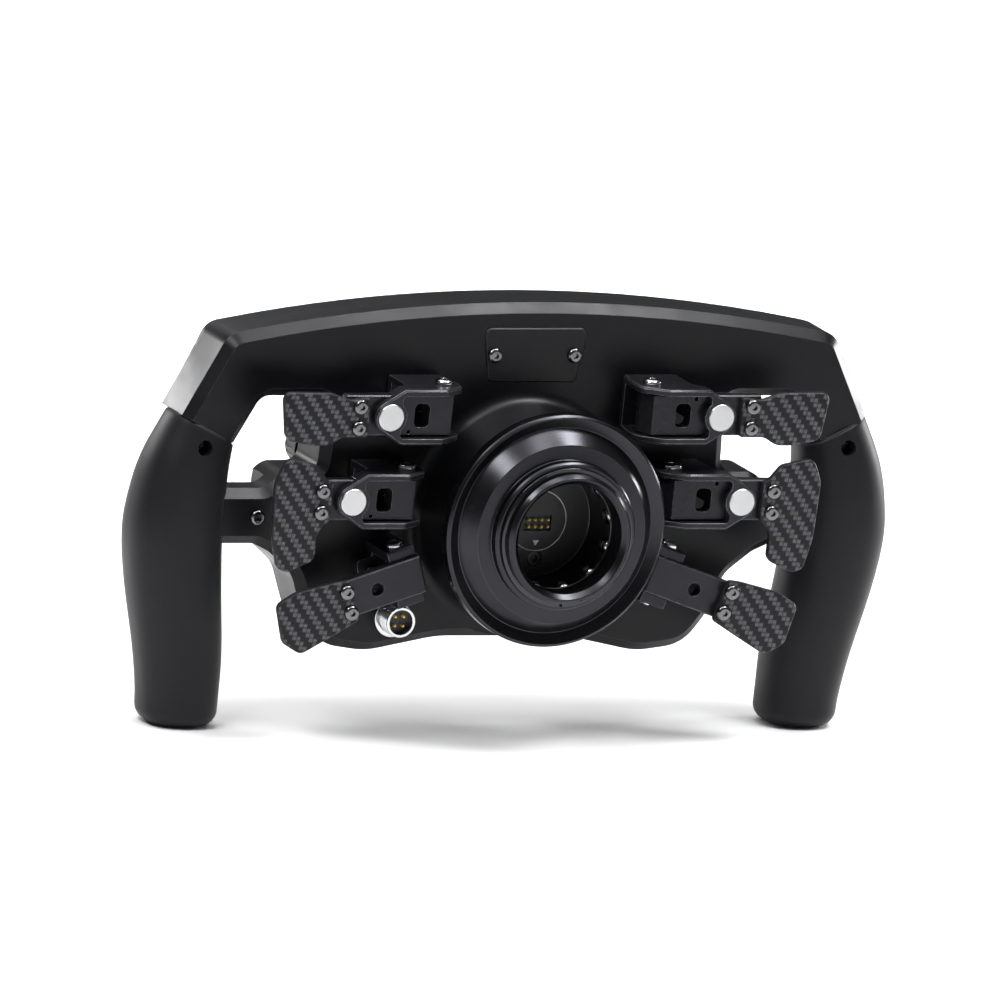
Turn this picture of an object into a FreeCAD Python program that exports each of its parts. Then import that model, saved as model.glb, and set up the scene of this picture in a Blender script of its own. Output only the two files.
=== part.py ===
"""Sim-racing steering wheel, seen from the driver as -Y and from the wheelbase as +Y, +Z up.

The origin is on the hub axis, just inside the mouth of the quick-release bore. Right is +X, as the driver
sees it. Units are millimetres. Each sub-part is one object of the document, and its Label names its file.
"""
import FreeCAD
import Part
import math
import os
import Sketcher
from FreeCAD import Placement, Rotation, Vector

doc = FreeCAD.newDocument("RacingWheel")

# ---------------------------------------------------------------- driving dimensions
DIMENSIONS = {
    # housing
    "back_face": -45.5,
    "housing_depth": 21.5,
    "back_wall": 4.0,
    "edge_chamfer": 3.4,
    "spoke_depth": 12.0,
    "core_depth": 12.0,
    "core_back": -50.5,
    "plate_thickness": 3.5,
    "cover_thickness": 2.0,
    "cover_recess": 1.6,
    # grips
    "grip_middle": -56.5,
    "grip_end_round": 6.0,
    # quick-release hub
    "bore_radius": 20.6,
    "bore_floor": -28.0,
    "sleeve_radius": 24.2,
    "sleeve_rim": 2.0,
    "sleeve_flange": 33.0,
    "flange_thickness": 4.0,
    "flange_bolt_circle": 29.0,
    "cone_top": -23.0,
    "cone_top_radius": 32.5,
    "cone_base_radius": 41.0,
    "collar_radius": 43.3,
    "collar_travel": 4.5,
    "ball_radius": 3.0,
    "ball_plane": -13.0,
    "ball_stand_out": 0.9,
    "spring_wire": 1.2,
    "spring_radius": 28.85,
    # shifters
    "pivot_line": -31.4,
    "bracket_height": 20.5,
    "bracket_gap": 15.9,
    "bracket_front": 10.1,
    "bracket_web": 3.2,
    "lever_height": 15.0,
    "lever_front": 6.6,
    "paddle_thickness": 3.0,
    "pin_radius": 2.0,
    "running_gap": 0.05,
    "magnet_radius": 5.0,
    "magnet_height": 3.0,
    "screw_pitch": 8.0,
    # analogue paddles
    "clutch_tilt": 18.4,
    "clutch_width": 14.0,
    "clutch_ear": 3.6,
    "clutch_front": 7.8,
    # fasteners and controls
    "thread_radius": 1.45,
    "button_radius": 6.0,
    "button_height": 5.5,
    "bezel_radius": 9.0,
    "bezel_height": 2.5,
    "knob_height": 13.0,
    "shaft_radius": 3.0,
}

sheet = doc.addObject("Spreadsheet::Sheet", "Sizes")
for row, (alias, value) in enumerate(DIMENSIONS.items(), start=1):
    sheet.set(f"A{row}", alias)
    sheet.set(f"B{row}", str(value))
    sheet.setAlias(f"B{row}", alias)
doc.recompute()


def size(alias):
    """Value of one cell of the sheet, in millimetres or degrees."""
    return float(sheet.get(alias))


nodes = []
COINCIDENT = 1
TOUCH = 1e-4
SIDES = {"right": 1, "left": -1}


# ---------------------------------------------------------------- sketches and features
def keep(part, label):
    """Give a sub-part its name and list it for writing."""
    part.Label = label
    nodes.append(part)
    return part


def rounded(corners):
    """Closed loop of lines and tangent arcs from corners (x, y, radius)."""
    count = len(corners)
    ends = []
    for i, (x, y, radius) in enumerate(corners):
        here = Vector(x, y, 0)
        before = (Vector(*corners[i - 1][:2], 0) - here).normalize()
        after = (Vector(*corners[(i + 1) % count][:2], 0) - here).normalize()
        half = before.getAngle(after) / 2
        if radius <= 0 or abs(half - math.pi / 2) < 1e-3:
            ends.append((here, None, here))
            continue
        reach = radius / math.tan(half)
        middle = (before + after).normalize() * (radius / math.sin(half) - radius)
        ends.append((here + before * reach, here + middle, here + after * reach))
    loop = []
    for i, (start, middle, end) in enumerate(ends):
        if middle is not None:
            loop.append(Part.Arc(start, middle, end))
        following = ends[(i + 1) % count][0]
        if end.distanceToPoint(following) > TOUCH:
            loop.append(Part.LineSegment(end, following))
    return loop


def mirrored(half):
    """Full loop of an outline that is the same on both sides of x = 0."""
    other = [(-x, y, radius) for x, y, radius in reversed(half) if x > 0]
    return rounded(list(half) + other)


def circle(x, y, radius):
    return [Part.Circle(Vector(x, y, 0), Vector(0, 0, 1), radius)]


def box_loop(x_low, x_high, y_low, y_high, radius=0.0):
    corners = [(x_low, y_low), (x_high, y_low), (x_high, y_high), (x_low, y_high)]
    return rounded([(x, y, radius) for x, y in corners])


def new_body(name):
    return doc.addObject("PartDesign::Body", name)


def sketch_on(body, plane, loops, lift="0", turn=None):
    """Sketch on one of the body's own origin planes, lifted along its normal by an expression."""
    sketch = body.newObject("Sketcher::SketchObject", f"{body.Name}_sketch")
    support = [part for part in body.Origin.OriginFeatures if part.Role == plane][0]
    sketch.AttachmentSupport = [(support, "")]
    sketch.MapMode = "FlatFace"
    if turn is not None:
        sketch.AttachmentOffset = turn
    if lift != "0":
        sketch.setExpression(".AttachmentOffset.Base.z", str(lift))
    for loop in loops:
        drawn = sketch.addGeometry(loop, False)
        for first, second in zip(drawn, drawn[1:] + drawn[:1]):
            if len(drawn) > 1:
                sketch.addConstraint(Sketcher.Constraint("Block", first))
    doc.recompute()
    return sketch


def bind_circle(sketch, geometry, expression):
    """Drive a circle's radius from the sheet."""
    index = sketch.addConstraint(Sketcher.Constraint("Radius", geometry, 1.0))
    sketch.setExpression(f"Constraints[{index}]", expression)


def feature(body, kind, sketch, length=None, **settings):
    """PartDesign feature on a sketch; length is an expression of the sheet or a plain number."""
    made = body.newObject(f"PartDesign::{kind}", f"{body.Name}_{kind.lower()}")
    made.Profile = sketch
    for name, value in settings.items():
        setattr(made, name, value)
    if isinstance(length, str):
        made.setExpression("Length", length)
    elif length is not None:
        made.Length = length
    sketch.Visibility = False
    doc.recompute()
    return made


def pad(body, sketch, length, **settings):
    return feature(body, "Pad", sketch, length, **settings)


def cut(body, sketch, length=None, **settings):
    """Pocket that must take material away."""
    before = body.Shape.Volume
    made = feature(body, "Pocket", sketch, length, **settings)
    if not body.Shape.Volume < before - 1e-3:
        raise RuntimeError(f"{made.Name} in {body.Name} cuts nothing")
    return made


def cut_through(body, sketch):
    return cut(body, sketch, Type="ThroughAll", Midplane=True)


def turned_about_y(body, loops):
    """Revolution about the body's Y axis of loops drawn as (radius, y)."""
    sketch = sketch_on(body, "XY_Plane", loops)
    made = body.newObject("PartDesign::Revolution", f"{body.Name}_turning")
    made.Profile = sketch
    made.ReferenceAxis = (sketch, ["V_Axis"])
    made.Angle = 360
    sketch.Visibility = False
    doc.recompute()
    return made


def edge_treatment(body, kind, amount, wanted):
    """Fillet or chamfer on the edges of the body's tip for which wanted(edge) is true."""
    tip = body.Tip
    names = [f"Edge{i + 1}" for i, edge in enumerate(tip.Shape.Edges) if wanted(edge)]
    if not names:
        raise RuntimeError(f"no edges to treat in {body.Name}")
    made = body.newObject(f"PartDesign::{kind}", f"{body.Name}_{kind.lower()}")
    made.Base = (tip, names)
    if kind == "Fillet":
        made.Radius = amount
    else:
        made.Size = amount
    doc.recompute()
    return made


def lies_at(edge, coordinate, value):
    """Whether the whole edge lies in the plane where x, y or z has the value."""
    low = getattr(edge.BoundBox, f"{coordinate}Min")
    high = getattr(edge.BoundBox, f"{coordinate}Max")
    return abs(low - value) < 1e-3 and abs(high - value) < 1e-3


def is_ring(edge):
    """Whether the edge is a whole circle, as round a hole."""
    return edge.isClosed() and edge.Curve.TypeId == "Part::GeomCircle"


def group(label, shapes):
    """Several separate solids kept as one sub-part."""
    made = doc.addObject("Part::Feature", label)
    made.Shape = Part.makeCompound(shapes)
    return keep(made, label)


def placed(shape, position, rotation=None):
    """Copy of a shape at a position, turned first."""
    copy = shape.copy()
    copy.Placement = Placement(position, rotation or Rotation())
    return copy


TOWARDS_BACK = Rotation(Vector(1, 0, 0), -90)
TOWARDS_FRONT = Rotation(Vector(1, 0, 0), 90)


def screw(head_radius, head_height, shank_radius, shank_length, socket, crown):
    """Hex-socket screw along +Z: underside of the head at z = 0, crown is the head's edge round."""
    head = Part.makeCylinder(head_radius, head_height)
    rim = [edge for edge in head.Edges if lies_at(edge, "Z", head_height)]
    head = head.makeFillet(crown, rim)
    shank = Part.makeCylinder(shank_radius, shank_length, Vector(0, 0, -shank_length))
    corners = [Vector(socket * math.cos(turn), socket * math.sin(turn), head_height)
               for turn in (math.radians(60 * step) for step in range(7))]
    hexagon = Part.Face(Part.makePolygon(corners))
    return head.fuse(shank).cut(hexagon.extrude(Vector(0, 0, -0.6 * head_height))).removeSplitter()


HEAD_RADIUS = 2.85
HEAD_HEIGHT = 1.65


def button_screw(length):
    return screw(HEAD_RADIUS, HEAD_HEIGHT, size("thread_radius"), length, 1.15, 1.2)


HOLE_RADIUS = size("thread_radius") + 0.05

# ---------------------------------------------------------------- housing
front_face = size("back_face") - size("housing_depth")
inner_wall = size("back_face") - size("back_wall")
SPOKE_TOP = 7.2
SPOKE_BOTTOM = -13.5
SPOKE_START = 97.5
SPOKE_END = 128.0
SEAM_OUTER = (136.5, 34.3)
SEAM_INNER = (115.0, 23.9)

HOUSING_HALF = [
    (0.0, 86.8, 620.0),
    (121.0, 64.6, 9.0),
    (*SEAM_OUTER, 0.0),
    (*SEAM_INNER, 0.0),
    (105.5, 41.6, 6.0),
    (79.5, 41.6, 4.0),
    (80.5, 13.2, 5.0),
    (94.0, 13.2, 7.0),
    (100.5, SPOKE_TOP, 7.0),
    (SPOKE_END, SPOKE_TOP, 0.0),
    (SPOKE_END, SPOKE_BOTTOM, 0.0),
    (103.0, SPOKE_BOTTOM, 6.0),
    (96.5, -16.5, 6.0),
    (86.5, -24.5, 12.0),
    (80.5, -40.0, 20.0),
    (72.5, -51.0, 16.0),
    (54.0, -53.6, 30.0),
    (26.0, -48.0, 50.0),
]
CAVITY_HALF = [
    (0.0, 79.4, 620.0),
    (108.0, 61.6, 6.0),
    (108.0, 46.0, 5.0),
    (75.5, 46.0, 4.0),
    (75.5, -36.0, 8.0),
    (66.0, -45.0, 8.0),
    (26.0, -43.0, 30.0),
]
CORE = [
    (126.4, 40.8, 0.0),
    (137.6, 19.4, 25.0),
    (138.2, -18.0, 40.0),
    (131.0, -54.0, 60.0),
    (129.8, -71.0, 3.0),
    (117.8, -71.0, 3.0),
    (119.2, -54.0, 60.0),
    (126.2, -18.0, 40.0),
    (125.6, 16.5, 20.0),
    (115.8, 35.2, 0.0),
]
COVER_CORNERS = [(-20.9, 67.7, 2.5), (20.9, 67.7, 2.5), (17.6, 47.4, 2.5), (-17.6, 47.4, 2.5)]
CONNECTOR_PLACE = (46.0, -40.3)
BOARD_POSTS = [(28.0, 58.0), (66.0, -30.0)]
BOARD_BACK = -58.0
COVER_SCREWS = [(side * 15.9, 57.5) for side in SIDES.values()]
SPOKE_SCREWS = [(side * 104.0, -3.0) for side in SIDES.values()]
FRONT_SCREWS = [(side * x, z) for side in SIDES.values()
                for x, z in ((22.0, 72.0), (112.5, 52.0), (91.0, -3.0), (60.0, -47.9))]

# Modules on the back: (x, z) of each pivot for the right side
SHIFTERS = {"upper": (41.5, 39.95), "middle": (53.1, 8.45)}
CLUTCH_PIVOT = (51.0, -20.6)
BRACKET_SCREWS = [(4.0, 0.0), (12.0, 0.0)]
CLUTCH_BASE_SCREWS = [(-2.0, 0.0), (7.0, 0.0)]


def module_turn(side, tilt=0.0):
    """Rotation of a module: local x points outboard, a tilt lowers the outboard end."""
    return Rotation(Vector(0, 1, 0), tilt if side > 0 else 180.0 - tilt)


def module_point(side, pivot, tilt, x, z):
    """Place on the back face, as (x, z), of a point given along a module's own axes."""
    turned = module_turn(side, tilt).multVec(Vector(x, 0, z))
    return side * pivot[0] + turned.x, pivot[1] + turned.z


bracket_screw_places = [
    module_point(side, pivot, 0.0, x, z)
    for side in SIDES.values() for pivot in SHIFTERS.values() for x, z in BRACKET_SCREWS
] + [
    module_point(side, CLUTCH_PIVOT, size("clutch_tilt"), x, z)
    for side in SIDES.values() for x, z in CLUTCH_BASE_SCREWS
]


def other_side(loop_corners, side):
    """Corner list mirrored to the left side."""
    if side > 0:
        return loop_corners
    return [(-x, y, radius) for x, y, radius in reversed(loop_corners)]


def build_housing():
    body = new_body("rear_housing")
    pad(body, sketch_on(body, "XZ_Plane", [mirrored(HOUSING_HALF)], "-Sizes.back_face"), "Sizes.housing_depth")
    # the spokes are thinner than the body: set back from the front
    spokes = [box_loop(*sorted((side * SPOKE_START, side * (SPOKE_END + 1))), -25.0, 12.6) for side in SIDES.values()]
    cut(body, sketch_on(body, "XZ_Plane", spokes, "-Sizes.back_face + Sizes.housing_depth"),
        "Sizes.housing_depth - Sizes.spoke_depth")
    ends = ((SEAM_OUTER, SEAM_INNER), ((SPOKE_END, SPOKE_TOP), (SPOKE_END, SPOKE_BOTTOM)))

    def outer_back_edge(edge):
        if not lies_at(edge, "Y", size("back_face")):
            return False
        middle = edge.valueAt((edge.FirstParameter + edge.LastParameter) / 2)
        for first, second in ends:
            centre = ((first[0] + second[0]) / 2, (first[1] + second[1]) / 2)
            if math.hypot(abs(middle.x) - centre[0], middle.z - centre[1]) < 0.5:
                return False
        return True

    edge_treatment(body, "Chamfer", size("edge_chamfer"), outer_back_edge)
    for side in SIDES.values():
        core = rounded(other_side(CORE, side))
        pad(body, sketch_on(body, "XZ_Plane", [core], "-Sizes.core_back"), "Sizes.core_depth")
    cut(body, sketch_on(body, "XZ_Plane", [mirrored(CAVITY_HALF)], "-Sizes.back_face + Sizes.housing_depth"),
        "Sizes.housing_depth - Sizes.back_wall")
    nut_room = [circle(*CONNECTOR_PLACE, 8.0)]
    cut(body, sketch_on(body, "XZ_Plane", nut_room, 60.0), 60.0 + inner_wall)
    posts = [circle(side * x, z, 3.5) for side in SIDES.values() for x, z in BOARD_POSTS]
    pad(body, sketch_on(body, "XZ_Plane", posts, -inner_wall), inner_wall - BOARD_BACK)
    # hub cone with a rounded foot
    top, base = size("cone_top"), size("back_face")
    wide, narrow = size("cone_base_radius"), size("cone_top_radius")
    profile = rounded([(22.0, inner_wall, 0), (wide + 6.0, inner_wall, 0), (wide + 6.0, base, 0),
                       (wide, base, 5.0), (narrow, top, 1.5), (22.0, top, 0)])
    turned_about_y(body, [profile])
    bore = sketch_on(body, "XZ_Plane", [circle(0, 0, 24.3)])
    bind_circle(bore, 0, "Sizes.sleeve_radius + 0.1")
    cut_through(body, bore)
    cut(body, sketch_on(body, "XZ_Plane", [rounded(COVER_CORNERS)], "-Sizes.back_face"),
        "Sizes.cover_recess", Reversed=True)
    opening = box_loop(-12.0, 12.0, 51.0, 64.0, 2.0)
    cut(body, sketch_on(body, "XZ_Plane", [opening], "-Sizes.back_face"), "Sizes.back_wall + 1", Reversed=True)
    holes = COVER_SCREWS + SPOKE_SCREWS + bracket_screw_places
    back = [circle(x, z, HOLE_RADIUS) for x, z in holes]
    back += [circle(*CONNECTOR_PLACE, 5.1)]
    back += [circle(x, z, 2.05) for x, z in ring_places(size("flange_bolt_circle"), 6)]
    cut(body, sketch_on(body, "XZ_Plane", back, "-Sizes.back_face"), 8, Reversed=True)
    front = [circle(x, z, HOLE_RADIUS) for x, z in FRONT_SCREWS]
    cut(body, sketch_on(body, "XZ_Plane", front, "-Sizes.back_face + Sizes.housing_depth"),
        "Sizes.housing_depth / 2")
    grip_holes = [circle(side * GRIP_SCREW[0], GRIP_SCREW[1], HOLE_RADIUS) for side in SIDES.values()]
    cut(body, sketch_on(body, "XZ_Plane", grip_holes, "-Sizes.core_back"), "Sizes.core_depth / 2", Reversed=True)
    keep(body, "rear_housing")


GRIP_SCREW = (128.4, 23.2)
GRIP_SECTIONS = [
    # z, centre x, half width, half depth
    (43.0, 118.7, 14.2, 12.0),
    (29.0, 125.9, 14.4, 12.6),
    (17.0, 129.7, 15.9, 14.6),
    (4.5, 131.5, 17.2, 16.0),
    (-10.0, 132.1, 18.0, 16.5),
    (-28.0, 130.1, 17.7, 16.0),
    (-55.5, 125.3, 16.1, 14.6),
    (-70.5, 123.8, 14.9, 14.1),
    (-82.0, 123.4, 14.5, 13.9),
]
SECTION_POINTS = 16
SQUARENESS = 2.35


def grip_section(centre_x, half_width, half_depth):
    """Closed smooth oval, a little squarer than an ellipse."""
    points = []
    for step in range(SECTION_POINTS):
        turn = 2 * math.pi * step / SECTION_POINTS
        across, along = math.cos(turn), math.sin(turn)
        reach = (abs(across) ** SQUARENESS + abs(along) ** SQUARENESS) ** (-1 / SQUARENESS)
        points.append(Vector(centre_x + half_width * reach * across,
                             size("grip_middle") + half_depth * reach * along, 0))
    curve = Part.BSplineCurve()
    curve.interpolate(Points=points, PeriodicFlag=True)
    return [curve]


def build_grip(name, side):
    body = new_body(f"{name}_grip")
    sections = []
    for z, centre_x, half_width, half_depth in GRIP_SECTIONS:
        loop = grip_section(side * centre_x, half_width, half_depth)
        sections.append(sketch_on(body, "XY_Plane", [loop], f"{z}"))
    loft = body.newObject("PartDesign::AdditiveLoft", f"{body.Name}_loft")
    loft.Profile = sections[0]
    loft.Sections = sections[1:]
    loft.Ruled = False
    doc.recompute()
    edge_treatment(body, "Fillet", size("grip_end_round"), lambda edge: lies_at(edge, "Z", GRIP_SECTIONS[-1][0]))
    # everything above the seam belongs to the limb
    gap = 0.3
    run = Vector(SEAM_OUTER[0] - SEAM_INNER[0], SEAM_OUTER[1] - SEAM_INNER[1], 0).normalize()
    down = Vector(run.y, -run.x, 0) * gap
    low = Vector(*SEAM_INNER, 0) - run * 12 + down
    high = Vector(*SEAM_OUTER, 0) + run * 16 + down
    above = [(low.x, low.y, 0), (high.x, high.y, 0), (high.x, 60.0, 0), (low.x, 60.0, 0)]
    cut_through(body, sketch_on(body, "XZ_Plane", [rounded(other_side(above, side))]))
    core = rounded(other_side(CORE, side))
    cut(body, sketch_on(body, "XZ_Plane", [core], "-Sizes.core_back"), "Sizes.core_depth", Reversed=True)
    spoke = box_loop(*sorted((side * 100.0, side * SPOKE_END)), SPOKE_BOTTOM, SPOKE_TOP)
    cut(body, sketch_on(body, "XZ_Plane", [spoke], "-Sizes.back_face"), "Sizes.spoke_depth", Reversed=True)
    hole = [circle(side * GRIP_SCREW[0], GRIP_SCREW[1], HEAD_RADIUS + 0.1)]
    cut(body, sketch_on(body, "XZ_Plane", hole, "-Sizes.core_back"), 30)
    keep(body, f"{name}_grip")


def build_cover():
    body = new_body("service_cover")
    play = 0.15
    corners = [(x - math.copysign(play, x), z - math.copysign(play, z - 57.5), radius)
               for x, z, radius in COVER_CORNERS]
    loops = [rounded(corners)] + [circle(x, z, HOLE_RADIUS) for x, z in COVER_SCREWS]
    outline = sketch_on(body, "XZ_Plane", loops, "-Sizes.back_face + Sizes.cover_recess - Sizes.cover_thickness")
    pad(body, outline, "Sizes.cover_thickness")
    top = size("back_face") - size("cover_recess") + size("cover_thickness")
    edge_treatment(body, "Chamfer", 0.35, lambda edge: lies_at(edge, "Y", top) and not is_ring(edge))
    keep(body, "service_cover")


# ---------------------------------------------------------------- quick-release hub
COLLAR_BORE_GAP = 0.08
GROOVE_FLOOR = -9.0
BALLS = 12
HALF_BALL = 360 / BALLS / 2


def ring_places(radius, count, start=0.0):
    """Places (x, z) evenly spaced on a circle about the hub axis."""
    turns = [math.radians(start + 360 / count * step) for step in range(count)]
    return [(radius * math.cos(turn), radius * math.sin(turn)) for turn in turns]
FLOOR_SCREW_OFFSET = 14.1


def build_sleeve():
    body = new_body("hub_sleeve")
    bore, outside, rim = size("bore_radius"), size("sleeve_radius"), size("sleeve_rim")
    foot = inner_wall - size("flange_thickness")
    seat = size("bore_floor") - 4.0
    ring_top, ring_low = -1.6, -3.0
    # a relief groove parts the mouth's guiding land from the ball row; a step carries the contact plate
    land, relief, step = -8.2, -9.6, 0.2
    profile = [
        (bore - step, seat, 0), (bore - step, size("bore_floor"), 0), (bore, size("bore_floor"), 0),
        (bore, relief, 0), (bore + 0.3, relief, 0), (bore + 0.3, land, 0), (bore, land, 0),
        (bore, 0.2, 0), (22.3, rim, 0.3), (23.0, rim, 0.3), (outside, 0.4, 0),
        (outside, ring_top, 0), (outside - 1.0, ring_top, 0), (outside - 1.0, ring_low, 0),
        (outside, ring_low, 0), (outside, inner_wall, 0), (size("sleeve_flange"), inner_wall, 0),
        (size("sleeve_flange"), foot, 0), (10.0, foot, 0), (10.0, seat, 0),
    ]
    turned_about_y(body, [rounded(profile)])
    bolts = [circle(x, z, 2.15) for x, z in ring_places(size("flange_bolt_circle"), 6, HALF_BALL)]
    cut(body, sketch_on(body, "XZ_Plane", bolts, f"{-inner_wall}"), "Sizes.flange_thickness + 1", Reversed=True)
    floor = [circle(x, z, HOLE_RADIUS) for x, z in ring_places(FLOOR_SCREW_OFFSET, 2, 90 + HALF_BALL)]
    cut(body, sketch_on(body, "XZ_Plane", floor, f"{-seat}"), 6, Reversed=True)
    # radial ball pockets: open to the bore, closed by the collar outside
    pocket = sketch_on(body, "XY_Plane", [circle(0, size("ball_plane"), size("ball_radius") + 0.05)])
    drill = cut(body, pocket, "Sizes.sleeve_radius + 1", Reversed=True)
    polar = body.newObject("PartDesign::PolarPattern", "ball_pockets")
    polar.Originals = [drill]
    axis = [part for part in body.Origin.OriginFeatures if part.Role == "Y_Axis"][0]
    polar.Axis = (axis, [""])
    polar.Angle = 360
    polar.Occurrences = BALLS
    body.Tip = polar
    doc.recompute()
    # the whole sleeve is turned by half a ball pitch, so its screw holes are drawn turned back by as much
    body.Placement = Placement(Vector(), Rotation(Vector(0, 1, 0), HALF_BALL))
    keep(body, "hub_sleeve")


def build_collar():
    body = new_body("locking_collar")
    inside = size("sleeve_radius") + COLLAR_BORE_GAP
    outside = size("collar_radius")
    over_balls = size("bore_radius") - size("ball_stand_out") + 2 * size("ball_radius") + 0.08
    inner_wall_of_groove = size("spring_radius") - size("spring_wire") / 2 - 0.95
    outer_wall_of_groove = size("spring_radius") + size("spring_wire") / 2 + 0.95
    back = -17.8
    profile = [
        (inside, -3.9, 0), (25.2, -3.1, 0.2), (26.9, -3.1, 0.3), (27.7, -3.9, 0.2), (27.7, -7.2, 0.4),
        (33.2, -7.2, 0.3), (38.2, -13.4, 0.4), (42.2, -11.2, 0.4), (outside, -12.2, 0.3),
        (outside, back + 1.2, 0.6), (outside - 1.2, back, 0.3), (outer_wall_of_groove, back, 0.3),
        (outer_wall_of_groove, GROOVE_FLOOR, 0), (inner_wall_of_groove, GROOVE_FLOOR, 0),
        (inner_wall_of_groove, back, 0), (over_balls, back, 0), (over_balls, -5.4, 0), (inside, -5.1, 0),
    ]
    turned_about_y(body, [rounded(profile)])
    keep(body, "locking_collar")


def build_retaining_ring():
    body = new_body("retaining_ring")
    inside = size("sleeve_radius") - 0.95
    profile = rounded([(inside, -1.65, 0), (25.9, -1.65, 0.4), (25.9, -2.95, 0.4), (inside, -2.95, 0)])
    turned_about_y(body, [profile])
    gap = box_loop(-0.6, 0.6, -30.0, -20.0)
    cut_through(body, sketch_on(body, "XZ_Plane", [gap]))
    keep(body, "retaining_ring")


def build_balls():
    radius = size("ball_radius")
    orbit = size("bore_radius") - size("ball_stand_out") + radius
    balls = []
    for step in range(BALLS):
        turn = math.radians(360 / BALLS * (step + 0.5))
        centre = Vector(orbit * math.cos(turn), size("ball_plane"), orbit * math.sin(turn))
        balls.append(Part.makeSphere(radius, centre))
    group("locking_balls", balls)


def build_spring():
    """Ten-sided wire wound on a helix between the cone and the collar."""
    wire, radius = size("spring_wire"), size("spring_radius")
    low = size("cone_top") + wire / 2 + 0.05
    high = GROOVE_FLOOR - wire / 2 - 0.1
    turns = 4
    helix = Part.makeHelix((high - low) / turns, high - low, radius)
    sides = 10
    corners = [Vector(radius + wire / 2 * math.cos(math.radians(360 / sides * step)), 0,
                      wire / 2 * math.sin(math.radians(360 / sides * step))) for step in range(sides + 1)]
    coil = Part.Wire(helix).makePipeShell([Part.makePolygon(corners)], True, True)
    made = doc.addObject("Part::Feature", "collar_spring")
    made.Shape = coil
    made.Placement = Placement(Vector(0, low, 0), TOWARDS_BACK)
    keep(made, "collar_spring")


CONTACT_PITCH = 2.54
CONTACT_ROW = -0.8


def contact_places():
    return [(CONTACT_PITCH * (column - 1.5), CONTACT_ROW + CONTACT_PITCH * (line - 0.5))
            for column in range(4) for line in range(2)]


def build_contact_plate():
    body = new_body("contact_plate")
    play = 0.25
    disc = sketch_on(body, "XZ_Plane", [circle(0, 0, 20.0)], "-Sizes.bore_floor")
    bind_circle(disc, 0, f"Sizes.bore_radius - {play}")
    pad(body, disc, 4)
    well = box_loop(-5.4, 5.4, CONTACT_ROW - 2.9, CONTACT_ROW + 2.9, 0.4)
    cut(body, sketch_on(body, "XZ_Plane", [well], "-Sizes.bore_floor"), 1.2, Reversed=True)
    engraving = [circle(0, 0, 11.4), circle(0, 0, 11.0)]
    cut(body, sketch_on(body, "XZ_Plane", engraving, "-Sizes.bore_floor"), 0.25,
        Reversed=True)
    pointer = rounded([(-1.4, -7.2, 0), (1.4, -7.2, 0), (0.0, -9.6, 0)])
    cut(body, sketch_on(body, "XZ_Plane", [pointer], "-Sizes.bore_floor"), 0.25,
        Reversed=True)
    heads = [circle(0, side * FLOOR_SCREW_OFFSET, 2.9) for side in SIDES.values()]
    cut(body, sketch_on(body, "XZ_Plane", heads, "-Sizes.bore_floor"), 2.6, Reversed=True)
    shanks = [circle(0, side * FLOOR_SCREW_OFFSET, HOLE_RADIUS) for side in SIDES.values()]
    shanks += [circle(x, z, 0.62) for x, z in contact_places()]
    cut(body, sketch_on(body, "XZ_Plane", shanks, "-Sizes.bore_floor"), 6, Reversed=True)
    keep(body, "contact_plate")


def build_contacts():
    """Spring contacts that the mating half presses in together."""
    floor = size("bore_floor")
    tip = Part.makeCylinder(0.55, 8.6, Vector(0, floor - 7.4, 0), Vector(0, 1, 0))
    tip = tip.makeFillet(0.4, [edge for edge in tip.Edges if lies_at(edge, "Y", floor + 1.2)])
    group("contact_pins", [placed(tip, Vector(x, 0, z)) for x, z in contact_places()])


def build_hub_screws():
    cap = screw(2.75, 2.5, size("thread_radius"), 6.0, 1.45, 0.3)
    head = size("bore_floor") - 2.55
    group("contact_screws",
          [placed(cap, Vector(0, head, side * FLOOR_SCREW_OFFSET), TOWARDS_BACK) for side in SIDES.values()])
    bolt = screw(3.5, 4.0, 2.0, 7.5, 1.75, 0.4)
    under = inner_wall - size("flange_thickness") - 0.02
    places = [Vector(x, under, z) for x, z in ring_places(size("flange_bolt_circle"), 6)]
    group("hub_bolts", [placed(bolt, place, TOWARDS_FRONT) for place in places])


# ---------------------------------------------------------------- round metal socket
SOCKET_MOUTH = 8.3


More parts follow.
